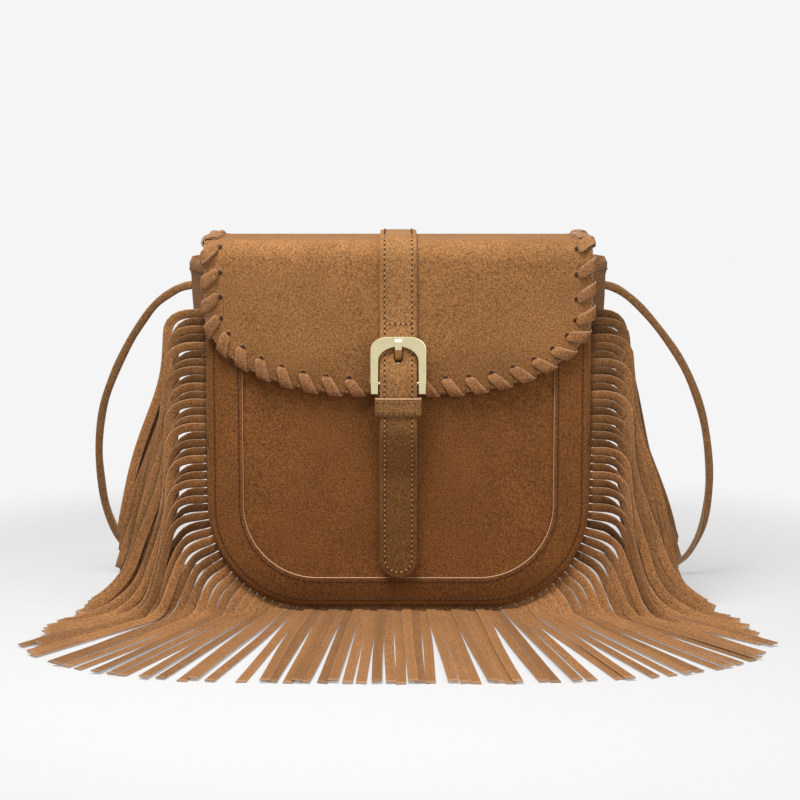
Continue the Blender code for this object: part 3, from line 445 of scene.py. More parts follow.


# The flap, border and belt materials grow darker downwards: painted shade for light from above.
SUEDE_FLAP = suede("suede_flap", (152, 106, 64), fade=((0.138, 0.72), (0.178, 1)))
# The front and border suede are set darker than the flap's: a painted shade of the same suede.
SUEDE_FRONT = suede("suede_front", (126, 80, 41))
SUEDE_BORDER = suede("suede_border", (126, 80, 41), fade=((0.006, 0.6), (0.04, 1)))
SUEDE_BACK = suede("suede_back", (148, 102, 63))
SUEDE_GUSSET = suede("suede_gusset", (138, 94, 58))
SUEDE_BELT = suede("suede_belt", (158, 113, 70), fade=((0.09, 0.5), (0.17, 1)))
SUEDE_LACE = suede("suede_lace", (152, 105, 66))
SUEDE_FRINGE = suede("suede_fringe", (162, 111, 65))
SUEDE_STRAP = suede("suede_strap", (150, 108, 70))
GOLD = metal("pale_gold", (226, 214, 170), 0.24)
LINING = cloth("lining_weave", (96, 66, 42))
THREAD = flat_tone("thread_brown", (88, 54, 26))
THREAD_PALE = flat_tone("thread_tan", (212, 158, 98))
# Holes are one dark tone: painted shade inside stitch and lacing holes.
HOLE_SHADE = flat_tone("hole_painted_shade", (56, 33, 16), 0.95)


# Shoulder strap: a folded thong in arcs at both sides, put away in folds behind the bag
STRAP_THICK = 0.005
STRAP_LIE = STRAP_THICK / 2 + 2 * GAP
SEAM = (HALF_BODY + 0.0069, 0.021, 0.1993)
# In tenths of a millimetre
LEFT_ARC = (
    (-1355, 235, 1972), (-1450, 268, 1925), (-1552, 317, 1846), (-1643, 373, 1731), (-1742, 427, 1577),
    (-1849, 480, 1362), (-1924, 532, 1152), (-1962, 583, 893), (-1957, 633, 651), (-1931, 683, 454),
    (-1861, 732, 262), (-1765, 775, 130), (-1640, 805, 52),
)
FOLDS = (
    (-1500, 825), (-1000, 830), (-500, 810), (0, 800), (400, 810), (680, 870), (830, 1030),
    (710, 1210), (400, 1260), (0, 1260), (-400, 1270), (-710, 1320), (-830, 1500), (-660, 1660),
    (-300, 1710), (400, 1700), (940, 1630), (1260, 1440), (1400, 1180), (1500, 960), (1630, 830),
)
RIGHT_ARC = (
    (1760, 775, 40), (1870, 736, 85), (1950, 691, 189), (2014, 645, 360), (2040, 600, 577),
    (2032, 553, 798), (1988, 506, 1064), (1913, 458, 1287), (1819, 410, 1475), (1688, 359, 1662),
    (1552, 308, 1821), (1440, 262, 1920), (1345, 235, 1972),
)
strap_knots = [(-SEAM[0], *SEAM[1:])] + [tuple(c / 10000 for c in p) for p in LEFT_ARC]
strap_knots += [(x / 10000, y / 10000, STRAP_LIE) for x, y in FOLDS]
strap_knots += [tuple(c / 10000 for c in p) for p in RIGHT_ARC] + [SEAM]
strap_line = [Vector(p) for p in catmull(strap_knots, 6)]


def build_strap():
    """A thong folded double: one rounded fold, one open edge with a slit between its layers."""
    upper = [(-0.48, 0.17), (-0.38, 0.29), (-0.15, 0.34), (0.2, 0.34), (0.42, 0.31), (0.5, 0.22), (0.5, 0.06)]
    section = [(-0.5, 0)] + upper + [(0.34, 0)] + [(a, -b) for a, b in reversed(upper)]
    rings = []
    cut = []
    turn = None
    n = len(strap_line)
    for k, place in enumerate(strap_line):
        along = (strap_line[min(n - 1, k + 1)] - strap_line[max(0, k - 1)]).normalized()
        lying = UP.cross(along)
        hanging = along.cross(Vector((0, 1, 0)))
        if turn is not None:
            lying = -lying if lying.dot(turn) < 0 else lying
            hanging = -hanging if hanging.dot(turn) < 0 else hanging
        wide = lying.lerp(hanging, smooth((place.z - 0.008) / 0.05))
        if turn is not None:
            wide = turn.lerp(wide, 0.2)
        wide = (wide - along * wide.dot(along)).normalized()
        turn = wide
        up = along.cross(wide).normalized()
        size = STRAP_THICK * (1 + 0.04 * sin(k * 0.61) + 0.03 * sin(k * 0.23))
        rings.append([place + wide * size * a + up * size * b for a, b in section])
        # The open edge is pale: cut edges with a painted highlight.
        cut.extend(0.55 if 5 < j < 11 and j != 8 else 0 for j in range(len(section)))
    made = piece("shoulder_strap_thong", sweep(rings), SUEDE_STRAP, "bag", "shoulder_strap", cut=cut)
    tuple(strap_line[0])
    distances(strap_line)[-1]
    [tuple(p) for p in strap_line]


build_strap()


# Panels, border, gusset and lining
def half_width(z, offset=0):
    """Half the width of the body at a height, moved outwards by offset."""
    low = LIFT - offset
    radius = RADIUS + offset
    if z >= low + radius:
        return HALF_BODY + offset
    return HALF_BODY + offset - radius + sqrt(max(0, radius ** 2 - (low + radius - z) ** 2))


def swell(x, z, power, place, rise, wave, spread):
    """How far a panel stands out from flat, zero round its seam, with soft waves."""
    w = max(0.01, half_width(max(z, LIFT + 0.001)))
    up = min(1, max(0, (z - LIFT) / (MOUTH - LIFT)))
    crown = max(0, 1 - (x / w) ** 2) * sin(pi * up ** power)
    soft = noise.noise(Vector((x * place[0], place[1], z * place[2]))) * wave
    return crown * rise + soft * min(1, crown * spread)


def belly(x, z):
    return swell(x, z, 0.8, (22, 3.1, 18), 0.0009, 0.0006, 3)


def back_belly(x, z):
    return swell(x, z, 0.7, (16, 8.7, 11), 0.0042, 0.0022, 2.4)


def panel_grid(offset=0, top=MOUTH, rows=46):
    """Heights up a panel, closer together towards its rounded base."""
    low = LIFT - offset
    return [low + (top - low) * (1 - cos(pi / 2 * k / rows)) for k in range(rows + 1)]


def build_panel(name, y, look, node, shape):
    us = [k / 24 - 1 for k in range(49)]

    def place(u, v, out):
        x = u * half_width(v)
        return Vector((x, y + shape(x, v) + out, v))

    def distance(u, v):
        return min((1 - abs(u)) * half_width(v), v - LIFT, MOUTH - v)

    piece(name, soft_plate(us, panel_grid(), place, LEATHER, distance), look, "bag", node)


build_panel("front_panel_sheet", FRONT + LEATHER / 2, SUEDE_FRONT, "front_panel", lambda x, z: -belly(x, z))
build_panel("back_panel_sheet", BACK - LEATHER / 2, SUEDE_BACK, "back_panel", back_belly)


def u_line(half, low, radius, side_rows=26, corner_rows=16, flat_rows=16, top=MOUTH):
    """Points (x, z) and outward directions down the left side, round the base and up the right."""
    line = []
    for k in range(side_rows):
        line.append((-half, mix(top, low + radius, k / side_rows), -1, 0))
    for k in range(corner_rows):
        a = pi / 2 * k / corner_rows
        c, s = cos(a), sin(a)
        line.append((-half + radius - radius * c, low + radius - radius * s, -c, -s))
    for k in range(flat_rows + 1):
        line.append((mix(-half + radius, 0, k / flat_rows), low, 0, -1))
    return line + [(-x, z, -ox, oz) for x, z, ox, oz in reversed(line[:-1])]


def build_border():
    outer = u_line(HALF_BODY, LIFT, RADIUS)
    inner = u_line(HALF_BODY - 0.021, LIFT + 0.0175, 0.045)
    us = [0, 0.008, 0.02, 0.045, 0.1, 0.25, 0.42, 0.6, 0.76, 0.9, 0.955, 0.98, 0.992, 1]
    middle = FRONT - GAP - BORDER_THICK / 2

    def between(u, v):
        return mix(outer[v][0], inner[v][0], u), mix(outer[v][1], inner[v][1], u)

    def width(v):
        return hypot(outer[v][0] - inner[v][0], outer[v][1] - inner[v][1])

    def place(u, v, out):
        x, z = between(u, v)
        return Vector((x, middle - belly(x, z) + out, z))

    def distance(u, v):
        return 0 if v in (0, len(outer) - 1) else min(u, 1 - u) * width(v)

    shape = soft_plate(us, range(len(outer)), place, BORDER_THICK, distance)
    # The inner edge is pale: the cut edge's own colour with a painted highlight where light catches it.
    cut = [1 if u > 0.985 else 0 for u in us] * (2 * len(outer))
    piece("front_border_sheet", shape, SUEDE_BORDER, "bag", "front_border", cut=cut)
    rows, holes = [], []
    for seam in (lambda v: 0.0036 / width(v), lambda v: 1 - 0.0026 / width(v)):
        line = []
        for v in range(1, len(outer) - 1):
            x, z = between(seam(v), v)
            line.append(((x, BORDER_FACE - belly(x, z) - 0.0001, z), (0, -1, 0)))
        rows += stitch_row(line, 0.0033, 0.0019, 0.00055)
        holes += stitch_row(line, 0.0033, 0.001, 0.001, 1)
    piece("border_stitches", joined(rows), THREAD, "bag", "front_border", False)
    # Dark spindles in the needle holes: painted shade.
    piece("border_needle_holes", joined(holes), HOLE_SHADE, "bag", "front_border", False)


build_border()


def gusset_out(z, across):
    """How far the gusset stands out at a height; across runs from -1 at the front to 1 at the back."""
    corner = LIFT + RADIUS
    rise = smooth((z - corner) / (MOUTH - corner))
    bulge = 0.003 + 0.01 * rise
    power = 6 - 4.6 * rise
    low = smooth((corner - z) / corner)
    bulge += (LIFT + 0.0015 - bulge) * low
    return -0.0015 + (bulge + 0.0015) * (1 - abs(across) ** power)


BAND_BACK = FRONT + LEATHER + GAP + 0.0007
GUSSET_FRONT = BAND_BACK + GAP
GUSSET_BACK = BACK - LEATHER - GAP


def build_gusset():
    thick = 0.0018
    line = u_line(HALF_BODY, LIFT, RADIUS, 40)
    depths = [-1 + 2 * k / 30 for k in range(31)]
    middle = (GUSSET_FRONT + GUSSET_BACK) / 2
    half = (GUSSET_BACK - GUSSET_FRONT) / 2

    def place(u, v, out):
        x, z, ox, oz = line[v]
        hem = smooth((z - (MOUTH - 0.0105)) / 0.0015)
        offset = gusset_out(z, u) - thick / 2 + out * (1 + hem)
        crease = noise.noise(Vector((u * 2.2, z * 30, 5 + ox))) * 0.0011
        offset += crease * (1 - u * u) * smooth((z - 0.02) / 0.03) * (1 - smooth((z - 0.19) / 0.02))
        return Vector((x + ox * offset, middle + half * u, max(z + oz * offset, 0 if out > 0 else 0.0016)))

    def distance(u, v):
        if v in (0, len(line) - 1):
            return 0
        mouth = MOUTH - line[v][1] + 0.0004 if v < 3 or v > len(line) - 4 else 1
        return min((1 - abs(u)) * half, mouth)

    shape = soft_plate(depths, range(len(line)), place, thick, distance)
    piece("gusset_sheet", shape, SUEDE_GUSSET, "bag", "gusset")
    rows = []
    z = MOUTH - 0.0078
    for side in (-1, 1):
        edge = []
        for u in depths[1:-1]:
            offset = gusset_out(z, u) + thick / 2
            edge.append(((side * (HALF_BODY + offset), middle + half * u, z), (side, 0, 0)))
        rows += stitch_row(edge, 0.0034)
    piece("hem_stitches", joined(rows), THREAD, "bag", "gusset", False)


build_gusset()


def build_lining():
    offset = -0.0051
    top = MOUTH - 0.004
    front = GUSSET_FRONT + 0.0006
    back = GUSSET_BACK - 0.0006
    parts = []
    for y, sign in ((front, 1), (back, -1)):
        heights = panel_grid(offset, top, 30)
        us = [k / 14 - 1 for k in range(29)]

        def place(u, v, out):
            x = u * half_width(v, offset)
            ripple = (noise.noise(Vector((x * 30, y * 90, v * 9))) * 0.5 + 0.5) * 0.0009
            near = min(1, (1 - abs(u)) * 6) * smooth((v - 0.02) / 0.03)
            return Vector((x, y + sign * ripple * near + out, v))

        def distance(u, v):
            return min((1 - abs(u)) * 0.1, v - (LIFT - offset), top - v)

        parts.append(soft_plate(us, heights, place, 0.0006, distance))
    line = u_line(HALF_BODY + offset, LIFT - offset, RADIUS + offset, 24, 12, 12, top)
    depths = [k / 10 for k in range(11)]

    def side_place(u, v, out):
        x, z, ox, oz = line[v]
        return Vector((x + ox * out, mix(front - 0.0003, back + 0.0003, u), z + oz * out))

    def side_distance(u, v):
        return min(u, 1 - u) * 0.06 if 0 < v < len(line) - 1 else 0

    parts.append(soft_plate(depths, range(len(line)), side_place, 0.0006, side_distance))
    piece("lining_pouch", joined(parts), LINING, "bag", "lining")


build_lining()


# Fringe
PITCH = 0.005
STRIP_HALF = (PITCH - 0.0005) / 2
START = 0.1895
LENGTH = 0.168
SIDE = START - LIFT - RADIUS
BEND = RADIUS * pi / 2
THIN = 0.0007
FAN_TOP, FAN_SIDE, FAN_CORNER = radians(-15), radians(46), radians(83)
STEPS = 168


def edge_point(distance):
    """A point of the seam and the outward direction there, at a distance along the fringe."""
    if distance <= SIDE:
        return Vector((-HALF_BODY, 0, START - distance)), Vector((-1, 0, 0))
    if distance <= SIDE + BEND:
        turn = (distance - SIDE) / RADIUS
        out = Vector((-cos(turn), 0, -sin(turn)))
        return Vector((RADIUS - HALF_BODY, 0, LIFT + RADIUS)) + out * RADIUS, out
    return Vector((RADIUS - HALF_BODY + distance - SIDE - BEND, 0, LIFT)), Vector((0, 0, -1))


RUN = 2 * SIDE + pi * RADIUS + BODY_WIDTH - 2 * RADIUS


def fan_angle(distance):
    """The way a strip points on the floor, from sideways to straight ahead."""
    if distance <= SIDE:
        return mix(FAN_TOP, FAN_SIDE, distance / SIDE)
    if distance <= SIDE + BEND:
        return mix(FAN_SIDE, FAN_CORNER, (distance - SIDE) / BEND)
    return mix(FAN_CORNER, pi / 2, (distance - SIDE - BEND) / (RUN / 2 - SIDE - BEND))


def turned(tangent, across):
    """The rotation to a frame of this tangent and, as near as it can be, this width."""
    across = (across - tangent * across.dot(tangent)).normalized()
    return Matrix((tangent, across, tangent.cross(across))).transposed().to_quaternion()


def strip_frames(distance, length, sway, phase, inner, ply):
    """Frames (middle, width, normal) down one strip of the left half, as in the solids.

    inner is 0 for a strip in the front layer and up to 1 for one that drops early behind
    the others; ply is the height that it keeps over the strips below it on the floor.
    """
    root, out = edge_point(distance)
    root = root + out * 0.0015
    root.y = FRONT + LEATHER + GAP + THIN / 2
    high = smooth((root.z - 0.02) / 0.05)
    inner *= high
    run = 0.029 - 0.019 * inner
    rise = radians(12) * high
    azimuth = fan_angle(distance)
    ahead = fan_angle(min(distance + PITCH, RUN / 2))
    heading = Vector((-cos(azimuth), -sin(azimuth), 0))
    sideways = UP.cross(heading)
    seam = Vector((-out.z, 0, out.x))
    root_turn = turned(out, seam)
    settle = min(0.03, max(0.006, 0.55 * root.z))
    flare = 0.4 * root.z * (1 - smooth((root.z - 0.135) / 0.045))
    steep = radians(54 + 32 * smooth((root.z - 0.03) / 0.07))
    pitch = min(radians(73), steep)
    bend = max(0.014 * smooth(root.z / 0.03), 0.004, flare)
    lower = PITCH * abs(seam.z)
    beside = max(0, PITCH * seam.dot(sideways))
    stand = pi / 2 * smooth(-out.x / 0.8)
    step = length / STEPS
    place = root.copy()
    rest = THIN / 2 + GAP
    frames = []
    for i in range(STEPS + 1):
        gone = i * step
        fall = (steep + rise) * min(1, gone / run) - rise + (pitch - steep) * smooth((gone - run) / 0.05)
        fall += 0.09 * high * sin(2.3 * phase + gone * 52) * smooth((gone - run) / 0.02)
        if place.z - rest < bend:
            fall = min(fall, acos(min(1, max(0, 1 - (place.z - rest) / bend))))
        reach = hypot(place.x - root.x, place.y - root.y)
        down = min(lower, max(0, place.z - rest)) * cos(fall)
        ahead_by = beside + reach * abs(ahead - azimuth)
        spacing = hypot(down, ahead_by)
        lap = asin(min(0.85, (THIN + GAP) / max(spacing, 1e-5)))
        lap *= 1 - smooth((spacing - 2 * STRIP_HALF) / (0.6 * STRIP_HALF))
        least = (lap + atan2(down, ahead_by)) * min(1, stand)
        turn = max(stand * smooth((place.z - rest) / 0.06), min(least, radians(115)))
        curl = 0.3 * smooth(gone / 0.003) * (1 - smooth((gone - 0.018) / 0.016))
        curl *= smooth((root.z - 0.008) / 0.03)
        rest = (THIN / 2 * cos(turn) + STRIP_HALF * sin(turn)) * cos(fall)
        rest = GAP + max(rest, THIN / 2) + ply
        drift = sway * smooth(reach / 0.05) * (0.6 + 0.4 * sin(phase + reach * 34))
        drift -= 0.55 * inner * smooth(gone / 0.01) * (1 - smooth((gone - 0.03) / 0.05))
        way = heading * cos(drift) + sideways * sin(drift)
        tangent = way * cos(fall) - UP * sin(fall)
        lift = tangent.cross(sideways)
        across = sideways * cos(turn) - lift * sin(turn)
        frame_turn = root_turn.slerp(turned(tangent, across), smooth(gone / settle))
        frame_turn = frame_turn @ Quaternion((1, 0, 0), -curl)
        frames.append((place.copy(), frame_turn @ Vector((0, 1, 0)), frame_turn @ UP))
        place = place + (frame_turn @ Vector((1, 0, 0))) * step
        place.z = max(place.z, rest)
    return frames


STRIP_SECTION = (
    (-1, 0.25), (-0.86, 0.5), (0, 0.5), (0.86, 0.5), (1, 0.25),
    (1, -0.25), (0.86, -0.5), (0, -0.5), (-0.86, -0.5), (-1, -0.25),
)
# How pale each corner of a strip is: cut edges paler, partly their own colour and partly a painted highlight.
STRIP_PALE_CUT_AND_HIGHLIGHT = [0.34, 0.08, 0, 0.08, 0.34, 0.34, 0.08, 0, 0.08, 0.34]


def build_fringe():
    total = floor(RUN / PITCH)
    start = (RUN - total * PITCH) / 2
    side = round((total - (BODY_WIDTH - 2 * RADIUS) / PITCH) / 2)
    spans = {"left": (0, side), "bottom": (side, total - 2 * side), "right": (total - side, side)}
    for name, (skip, count) in spans.items():
        parts, cut, tone = [], [], []
        for k in range(skip, skip + count):
            middle = start + (k + 0.5) * PITCH
            flip = middle > RUN / 2
            near = RUN - middle if flip else middle
            length = LENGTH + mix(0.007, -0.005, smooth((edge_point(near)[0].z - 0.01) / 0.08))
            length -= chance.uniform(0, 0.003)
            inner = (0, 0.95, 0.3, 0.7, 0.05, 1, 0.5)[k % 7] * chance.uniform(0.8, 1)
            ply = (0, 0.0011, 0.0005)[k % 3]
            sway, phase = chance.uniform(-0.045, 0.045), chance.uniform(0, tau)
            frames = strip_frames(near, length, sway, phase, inner, ply)
            half = STRIP_HALF * chance.uniform(0.96, 1)
            shade = chance.choice((0, 0.08, 0.2, 0.42))
            skew = chance.uniform(-0.0009, 0.0009)
            picks = list(range(0, STEPS, 4)) + [STEPS]
            rings = []
            for n, i in enumerate(picks):
                place, across, normal = frames[i]
                wide = half * mix(1, 1.32, smooth((i / STEPS * length - 0.001) / 0.004))
                along = Vector((0, 0, 0))
                if n == len(picks) - 1:
                    along = (frames[-1][0] - frames[-2][0]).normalized() * skew
                ring = []
                for a, b in STRIP_SECTION:
                    ring.append(place + across * wide * a + normal * THIN * b + along * a)
                if flip:
                    ring = [Vector((-p.x, p.y, p.z)) for p in ring]
                rings.append(ring)
                cut.extend(STRIP_PALE_CUT_AND_HIGHLIGHT if n < len(picks) - 1 else [0.5] * 10)
                # The random pick above is each strip's own darker tone; inner strips darken further up high,
                # a painted shade where they drop behind the front strips.
                deep = inner * smooth((place.z - 0.015) / 0.03)
                tone.extend([min(1, shade + 0.75 * deep)] * 10)
            parts.append(sweep(rings))
        band = []
        for k in range(41):
            at = start + (skip + count * k / 40) * PITCH
            flip = at > RUN / 2
            point, out = edge_point(RUN - at if flip else at)
            if flip:
                point, out = Vector((-point.x, 0, point.z)), Vector((-out.x, 0, out.z))
            a, b = point + out * 0.0015, point - out * 0.0065
            y0, y1 = FRONT + LEATHER + GAP, BAND_BACK
            band.append([Vector((p.x, y, p.z)) for p, y in ((a, y0), (b, y0), (b, y1), (a, y1))])
            cut.extend([0] * 4)
            # The header band inside the seam is darker: painted shade between the front panel and the gusset.
            tone.extend([0.3] * 4)
        parts.append(sweep(band))
        name = "fringe_" + name
        piece(name + "_strips", joined(parts), SUEDE_FRINGE, "bag", name, cut=cut, tone=tone)


build_fringe()


# Flap and its lacing
FLAP = Profile(filleted(
    [
        (BACK - LEATHER / 2, HINGE_HEIGHT + 0.00015), (BACK - LEATHER / 2, ROOF_MIDDLE),
        (FLAP_MIDDLE, ROOF_MIDDLE), (FLAP_MIDDLE, FLAP_BOTTOM),
    ],
    (0.009, 0.011), 12,
))
CURVE_AT = FLAP.length - (FLAP_CURVE_START - FLAP_BOTTOM)


def flap_half(s):
    """Half the width of the flap at a distance from its hinge."""
    if s <= CURVE_AT:
        return FLAP_HALF
    t = min(1, (s - CURVE_AT) / (FLAP.length - CURVE_AT))
    return FLAP_HALF - FLAP_CURVE_WIDTH + FLAP_CURVE_WIDTH * sqrt(max(0, 1 - t * t))


def flap_wave(x, s):
    """Small swells of the flap, outwards only, none near the belt or the hinge."""
    wave = noise.noise(Vector((x * 15, s * 13, 2))) * 0.5 + 0.35
    return max(0, wave) * 0.0011 * smooth((abs(x) - 0.02) / 0.03) * smooth((s - 0.08) / 0.03)


def build_flap():
    rim = [0.985, 0.991, 0.996, 0.9985, 1]
    us = [-u for u in reversed(rim)] + [mix(-0.97, 0.97, k / 56) for k in range(57)] + rim
    end = FLAP.length
    vs = [0, 0.0003, 0.0007, 0.0012] + [mix(0.0025, CURVE_AT, k / 70) for k in range(71)]
    vs += [mix(CURVE_AT, end, sin(pi / 2 * k / 26)) for k in range(1, 26)]
    vs += [end - 0.0012, end - 0.0007, end - 0.0003, end]
    vs = sorted(set(round(v, 6) for v in vs if v < end - 1e-6)) + [end]

    def place(u, v, out):
        x = u * flap_half(v)
        return FLAP.wrap(x, v, out + flap_wave(x, v))

    def distance(u, v):
        w = flap_half(v)
        d = (1 - abs(u)) * w
        if v > CURVE_AT:
            slope = (w - flap_half(min(end, v + 0.0005))) / 0.0005
            d = min(d / hypot(1, slope), end - v)
        return min(d, v)

    shape = soft_plate(us, vs, place, FLAP_THICK, distance)
    # The flap's rim is pale: the cut edge's own colour with a painted highlight.
    cut = [0.6 * (1 - smooth(distance(u, v) / 0.0007)) if v > 0.005 else 0 for v in vs for u in us]
    made = piece("flap_suede_sheet", shape, SUEDE_FLAP, None, "flap", cut=cut * 2)
    up = radians(40)
    reach = 0.0052 * sin(up)
    start = Vector((0, FLAP.points[0].x, HINGE_HEIGHT))
    end = start + Vector((0, -cos(up), sin(up))) * reach
    tuple(end)
    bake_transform(made)


build_flap()


def flap_edge():
    """The outline of the flat flap, from the hinge down its left side and up the right."""
    left = [Vector((-FLAP_HALF, CURVE_AT * k / 60)) for k in range(60)]
    middle = -FLAP_HALF + FLAP_CURVE_WIDTH
    drop = FLAP.length - CURVE_AT
    left += [Vector(p) for p in arc(middle, CURVE_AT, FLAP_CURVE_WIDTH, drop, pi, pi / 2, 64)]
    return left + [Vector((-p.x, p.y)) for p in reversed(left)]


EDGE = flap_edge()
EDGE_MARKS = distances(EDGE)


def along_edge(distance):
    """Point and inward direction at a distance along the flat edge."""
    k = 0
    while k < len(EDGE) - 2 and distance > EDGE_MARKS[k + 1]:
        k += 1
    direction = (EDGE[k + 1] - EDGE[k]).normalized()
    point = EDGE[k] + direction * (distance - EDGE_MARKS[k])
    around = (EDGE[min(len(EDGE) - 1, k + 2)] - EDGE[max(0, k - 1)]).normalized()
    return point, Vector((around.y, -around.x)), around


THONG_SECTION = (
    (-1, 0.15), (-0.9, 0.45), (-0.45, 0.56), (0, 0.6), (0.45, 0.56), (0.9, 0.45),
    (1, 0.15), (1, -0.2), (0.9, -0.45), (0, -0.5), (-0.9, -0.45), (-1, -0.2),
)
# Radius and height of the rings of a lacing hole, from its middle over its rim
HOLE_RINGS = ((0.0001, -0.0001), (0.0014, -0.00005), (0.0016, 0.00025), (0.002, 0.00008), (0.0022, -0.0001))


def build_lacing():
    margin, pitch, inset, thick, width = 0.006, 0.0149, 0.0086, 0.0012, 0.0082
    run = EDGE_MARKS[-1]
    loops = round((run - 2 * margin) / pitch)
    pitch = (run - 2 * margin) / loops
    front = FLAP_THICK / 2 + GAP + thick / 2
    knots = []
    for k in range(loops + 1):
        w = width * chance.uniform(0.94, 1.04) * (0.8 if k in (0, loops - 1, loops) else 1)
        deep = inset + chance.uniform(-0.0003, 0.0003)
        bow = chance.uniform(-0.00015, 0.00035)
        shape = (
            (0, deep, -front + 0.0003, 0.5),
            (0, deep, front - 0.0009, 0.6),
            (0.03, deep - 0.0012, front + 0.0003, 0.86),
            (0.12, deep - 0.0036, front + 0.0005 + bow, 0.96),
            (0.24, deep * 0.3, front + 0.0004 + bow, 1),
            (0.34, 0, front - 0.0001, 1),
            (0.42, -0.0015, 0, 1),
            (0.5, -0.0001, -front, 0.95),
            (0.62, deep * 0.3, -front - 0.0001, 0.85),
            (0.8, deep * 0.6, -front - 0.0001, 0.72),
            (0.95, deep - 0.0022, -front, 0.55),
        )
        for share, inward, out, wide in shape:
            if k == loops and share > 0:
                continue
            knots.append((k + share, inward, out, w * wide))
    fine = catmull(knots, 4)
    bends = ((0, 0.022), (0.066, 0.102))
    middles, wides = [], []
    for share, inward, out, wide in fine:
        point, inwards, tangent = along_edge(margin + share * pitch)
        flat = point + inwards * inward
        lift = 0.0005 if out > 0.5 * front and any(a < flat.y < b for a, b in bends) else 0
        ends = []
        for side in (-1, 0, 1):
            spot = flat + tangent * side * wide / 2
            ends.append(FLAP.wrap(spot.x, spot.y, out + lift + flap_wave(spot.x, spot.y)))
        middles.append(ends[1])
        wides.append(ends[2] - ends[0])
    rings, cut = [], []
    normal = None
    for k, (place, wide) in enumerate(zip(middles, wides)):
        along = (middles[min(len(middles) - 1, k + 1)] - middles[max(0, k - 1)]).normalized()
        across = wide.normalized()
        fresh = along.cross(across)
        if fresh.length < 1e-4:
            fresh = normal
        fresh = fresh.normalized()
        if normal is not None:
            fresh = normal.lerp(fresh, 0.8).normalized()
        normal = fresh
        half = wide.length / 2
        ring = []
        for a, b in THONG_SECTION:
            ring.append(place + across * half * a + normal * thick * b)
        rings.append(ring)
        # The thong's edges are pale: cut edges with a painted highlight.
        cut.extend([0.5, 0.1, 0, 0, 0, 0.1, 0.5, 0.5, 0.1, 0, 0.1, 0.5])
    piece("flap_lacing_thong", sweep(rings), SUEDE_LACE, "flap", "flap_lacing", cut=cut)

    holes, rims, hole_shade_dots, pale = [], [], [], []
    for k in range(loops + 1):
        point, inwards, tangent = along_edge(margin + k * pitch)
        centre = point + inwards * (inset + 0.0011) - tangent * 0.0006
        level = FLAP_THICK / 2 + flap_wave(centre.x, centre.y)
        rings = []
        for radius, lift in HOLE_RINGS:
            ring = []
            for j in range(14):
                a = tau * j / 14
                spot = centre + (tangent * cos(a) * 0.95 + inwards * sin(a)) * radius
                ring.append(FLAP.wrap(spot.x, spot.y, level + lift + 0.00012))
            rings.append(ring)
        holes.append(sweep(rings[:3]))
        rims.append(sweep(rings[2:], False))
        # The dark dots between the pale stitches stand for the shade in the stitch holes: painted shade in
        # dark thread.
        for share, group in ((0.42, hole_shade_dots), (0.52, pale), (0.8, hole_shade_dots), (0.88, pale)) if k < loops else ():
            spot, inner, way = along_edge(margin + (k + share) * pitch)
            flat = spot + inner * 0.0012
            level = FLAP_THICK / 2 + flap_wave(flat.x, flat.y)
            here = FLAP.wrap(flat.x, flat.y, level)
            up = (FLAP.wrap(flat.x, flat.y, level + 0.001) - here).normalized()
            ahead = FLAP.wrap(flat.x + way.x * 0.001, flat.y + way.y * 0.001, level) - here
            group.append(thread(here, ahead, up, 0.0012, 0.0005))
    # Dark discs in the lacing holes: painted shade.
    piece("lace_holes", joined(holes), HOLE_SHADE, "flap", "flap", False)
    piece("lace_hole_rims", joined(rims), SUEDE_FLAP, "flap", "flap", False)
    piece("rim_hole_shade_dots", joined(hole_shade_dots), THREAD, "flap", "flap", False)
    piece("rim_stitches_pale", joined(pale), THREAD_PALE, "flap", "flap", False)


build_lacing()


# Belt, chape and keeper
BELT = Profile(filleted(
    [
        (0.022, ROOF_MIDDLE + BELT_OFFSET),
        (FLAP_MIDDLE - BELT_OFFSET, ROOF_MIDDLE + BELT_OFFSET),
        (FLAP_MIDDLE - BELT_OFFSET, 0.18),
        (BELT_AT_BAR, BAR_Z + 0.005),
        (BELT_AT_BAR, 0.116),
        (BORDER_FACE - 0.006, 0.088),
        (BORDER_FACE - 0.0036, 0.0235),
    ],
    (0.011 + BELT_OFFSET, 0.03, 0.02, 0.016, 0.03), 10,
), 0.001)


def belt_at_height(z):
    """How far along the belt its front run is at a height."""
    best = min((abs(p.y - z), k) for k, p in enumerate(BELT.points) if p.x < -0.03)
    return best[1] * BELT.step


# Places across and up as shares, whether the seam's groove is there, and how pale the edge is (its own
# cut-edge colour and a painted highlight)
RIGHT_HALF = [
    (0.35, 1.04, 0, 0), (0.68, 1, 0, 0), (0.735, 1, 1, 0), (0.78, 1, 0, 0), (0.88, 0.97, 0, 0),
    (0.95, 0.78, 0, 0), (0.985, 0.45, 0, 0.1), (1, 0, 0, 0.25),
]
BELT_SECTION = [(-a, b, dip, mark) for a, b, dip, mark in reversed(RIGHT_HALF)]
BELT_SECTION += [(0, 1.06, 0, 0)] + RIGHT_HALF + [(0.98, -0.6, 0, 0), (0.9, -0.98, 0, 0)]
BELT_SECTION += [(0, -1, 0, 0), (-0.9, -0.98, 0, 0), (-0.98, -0.6, 0, 0)]


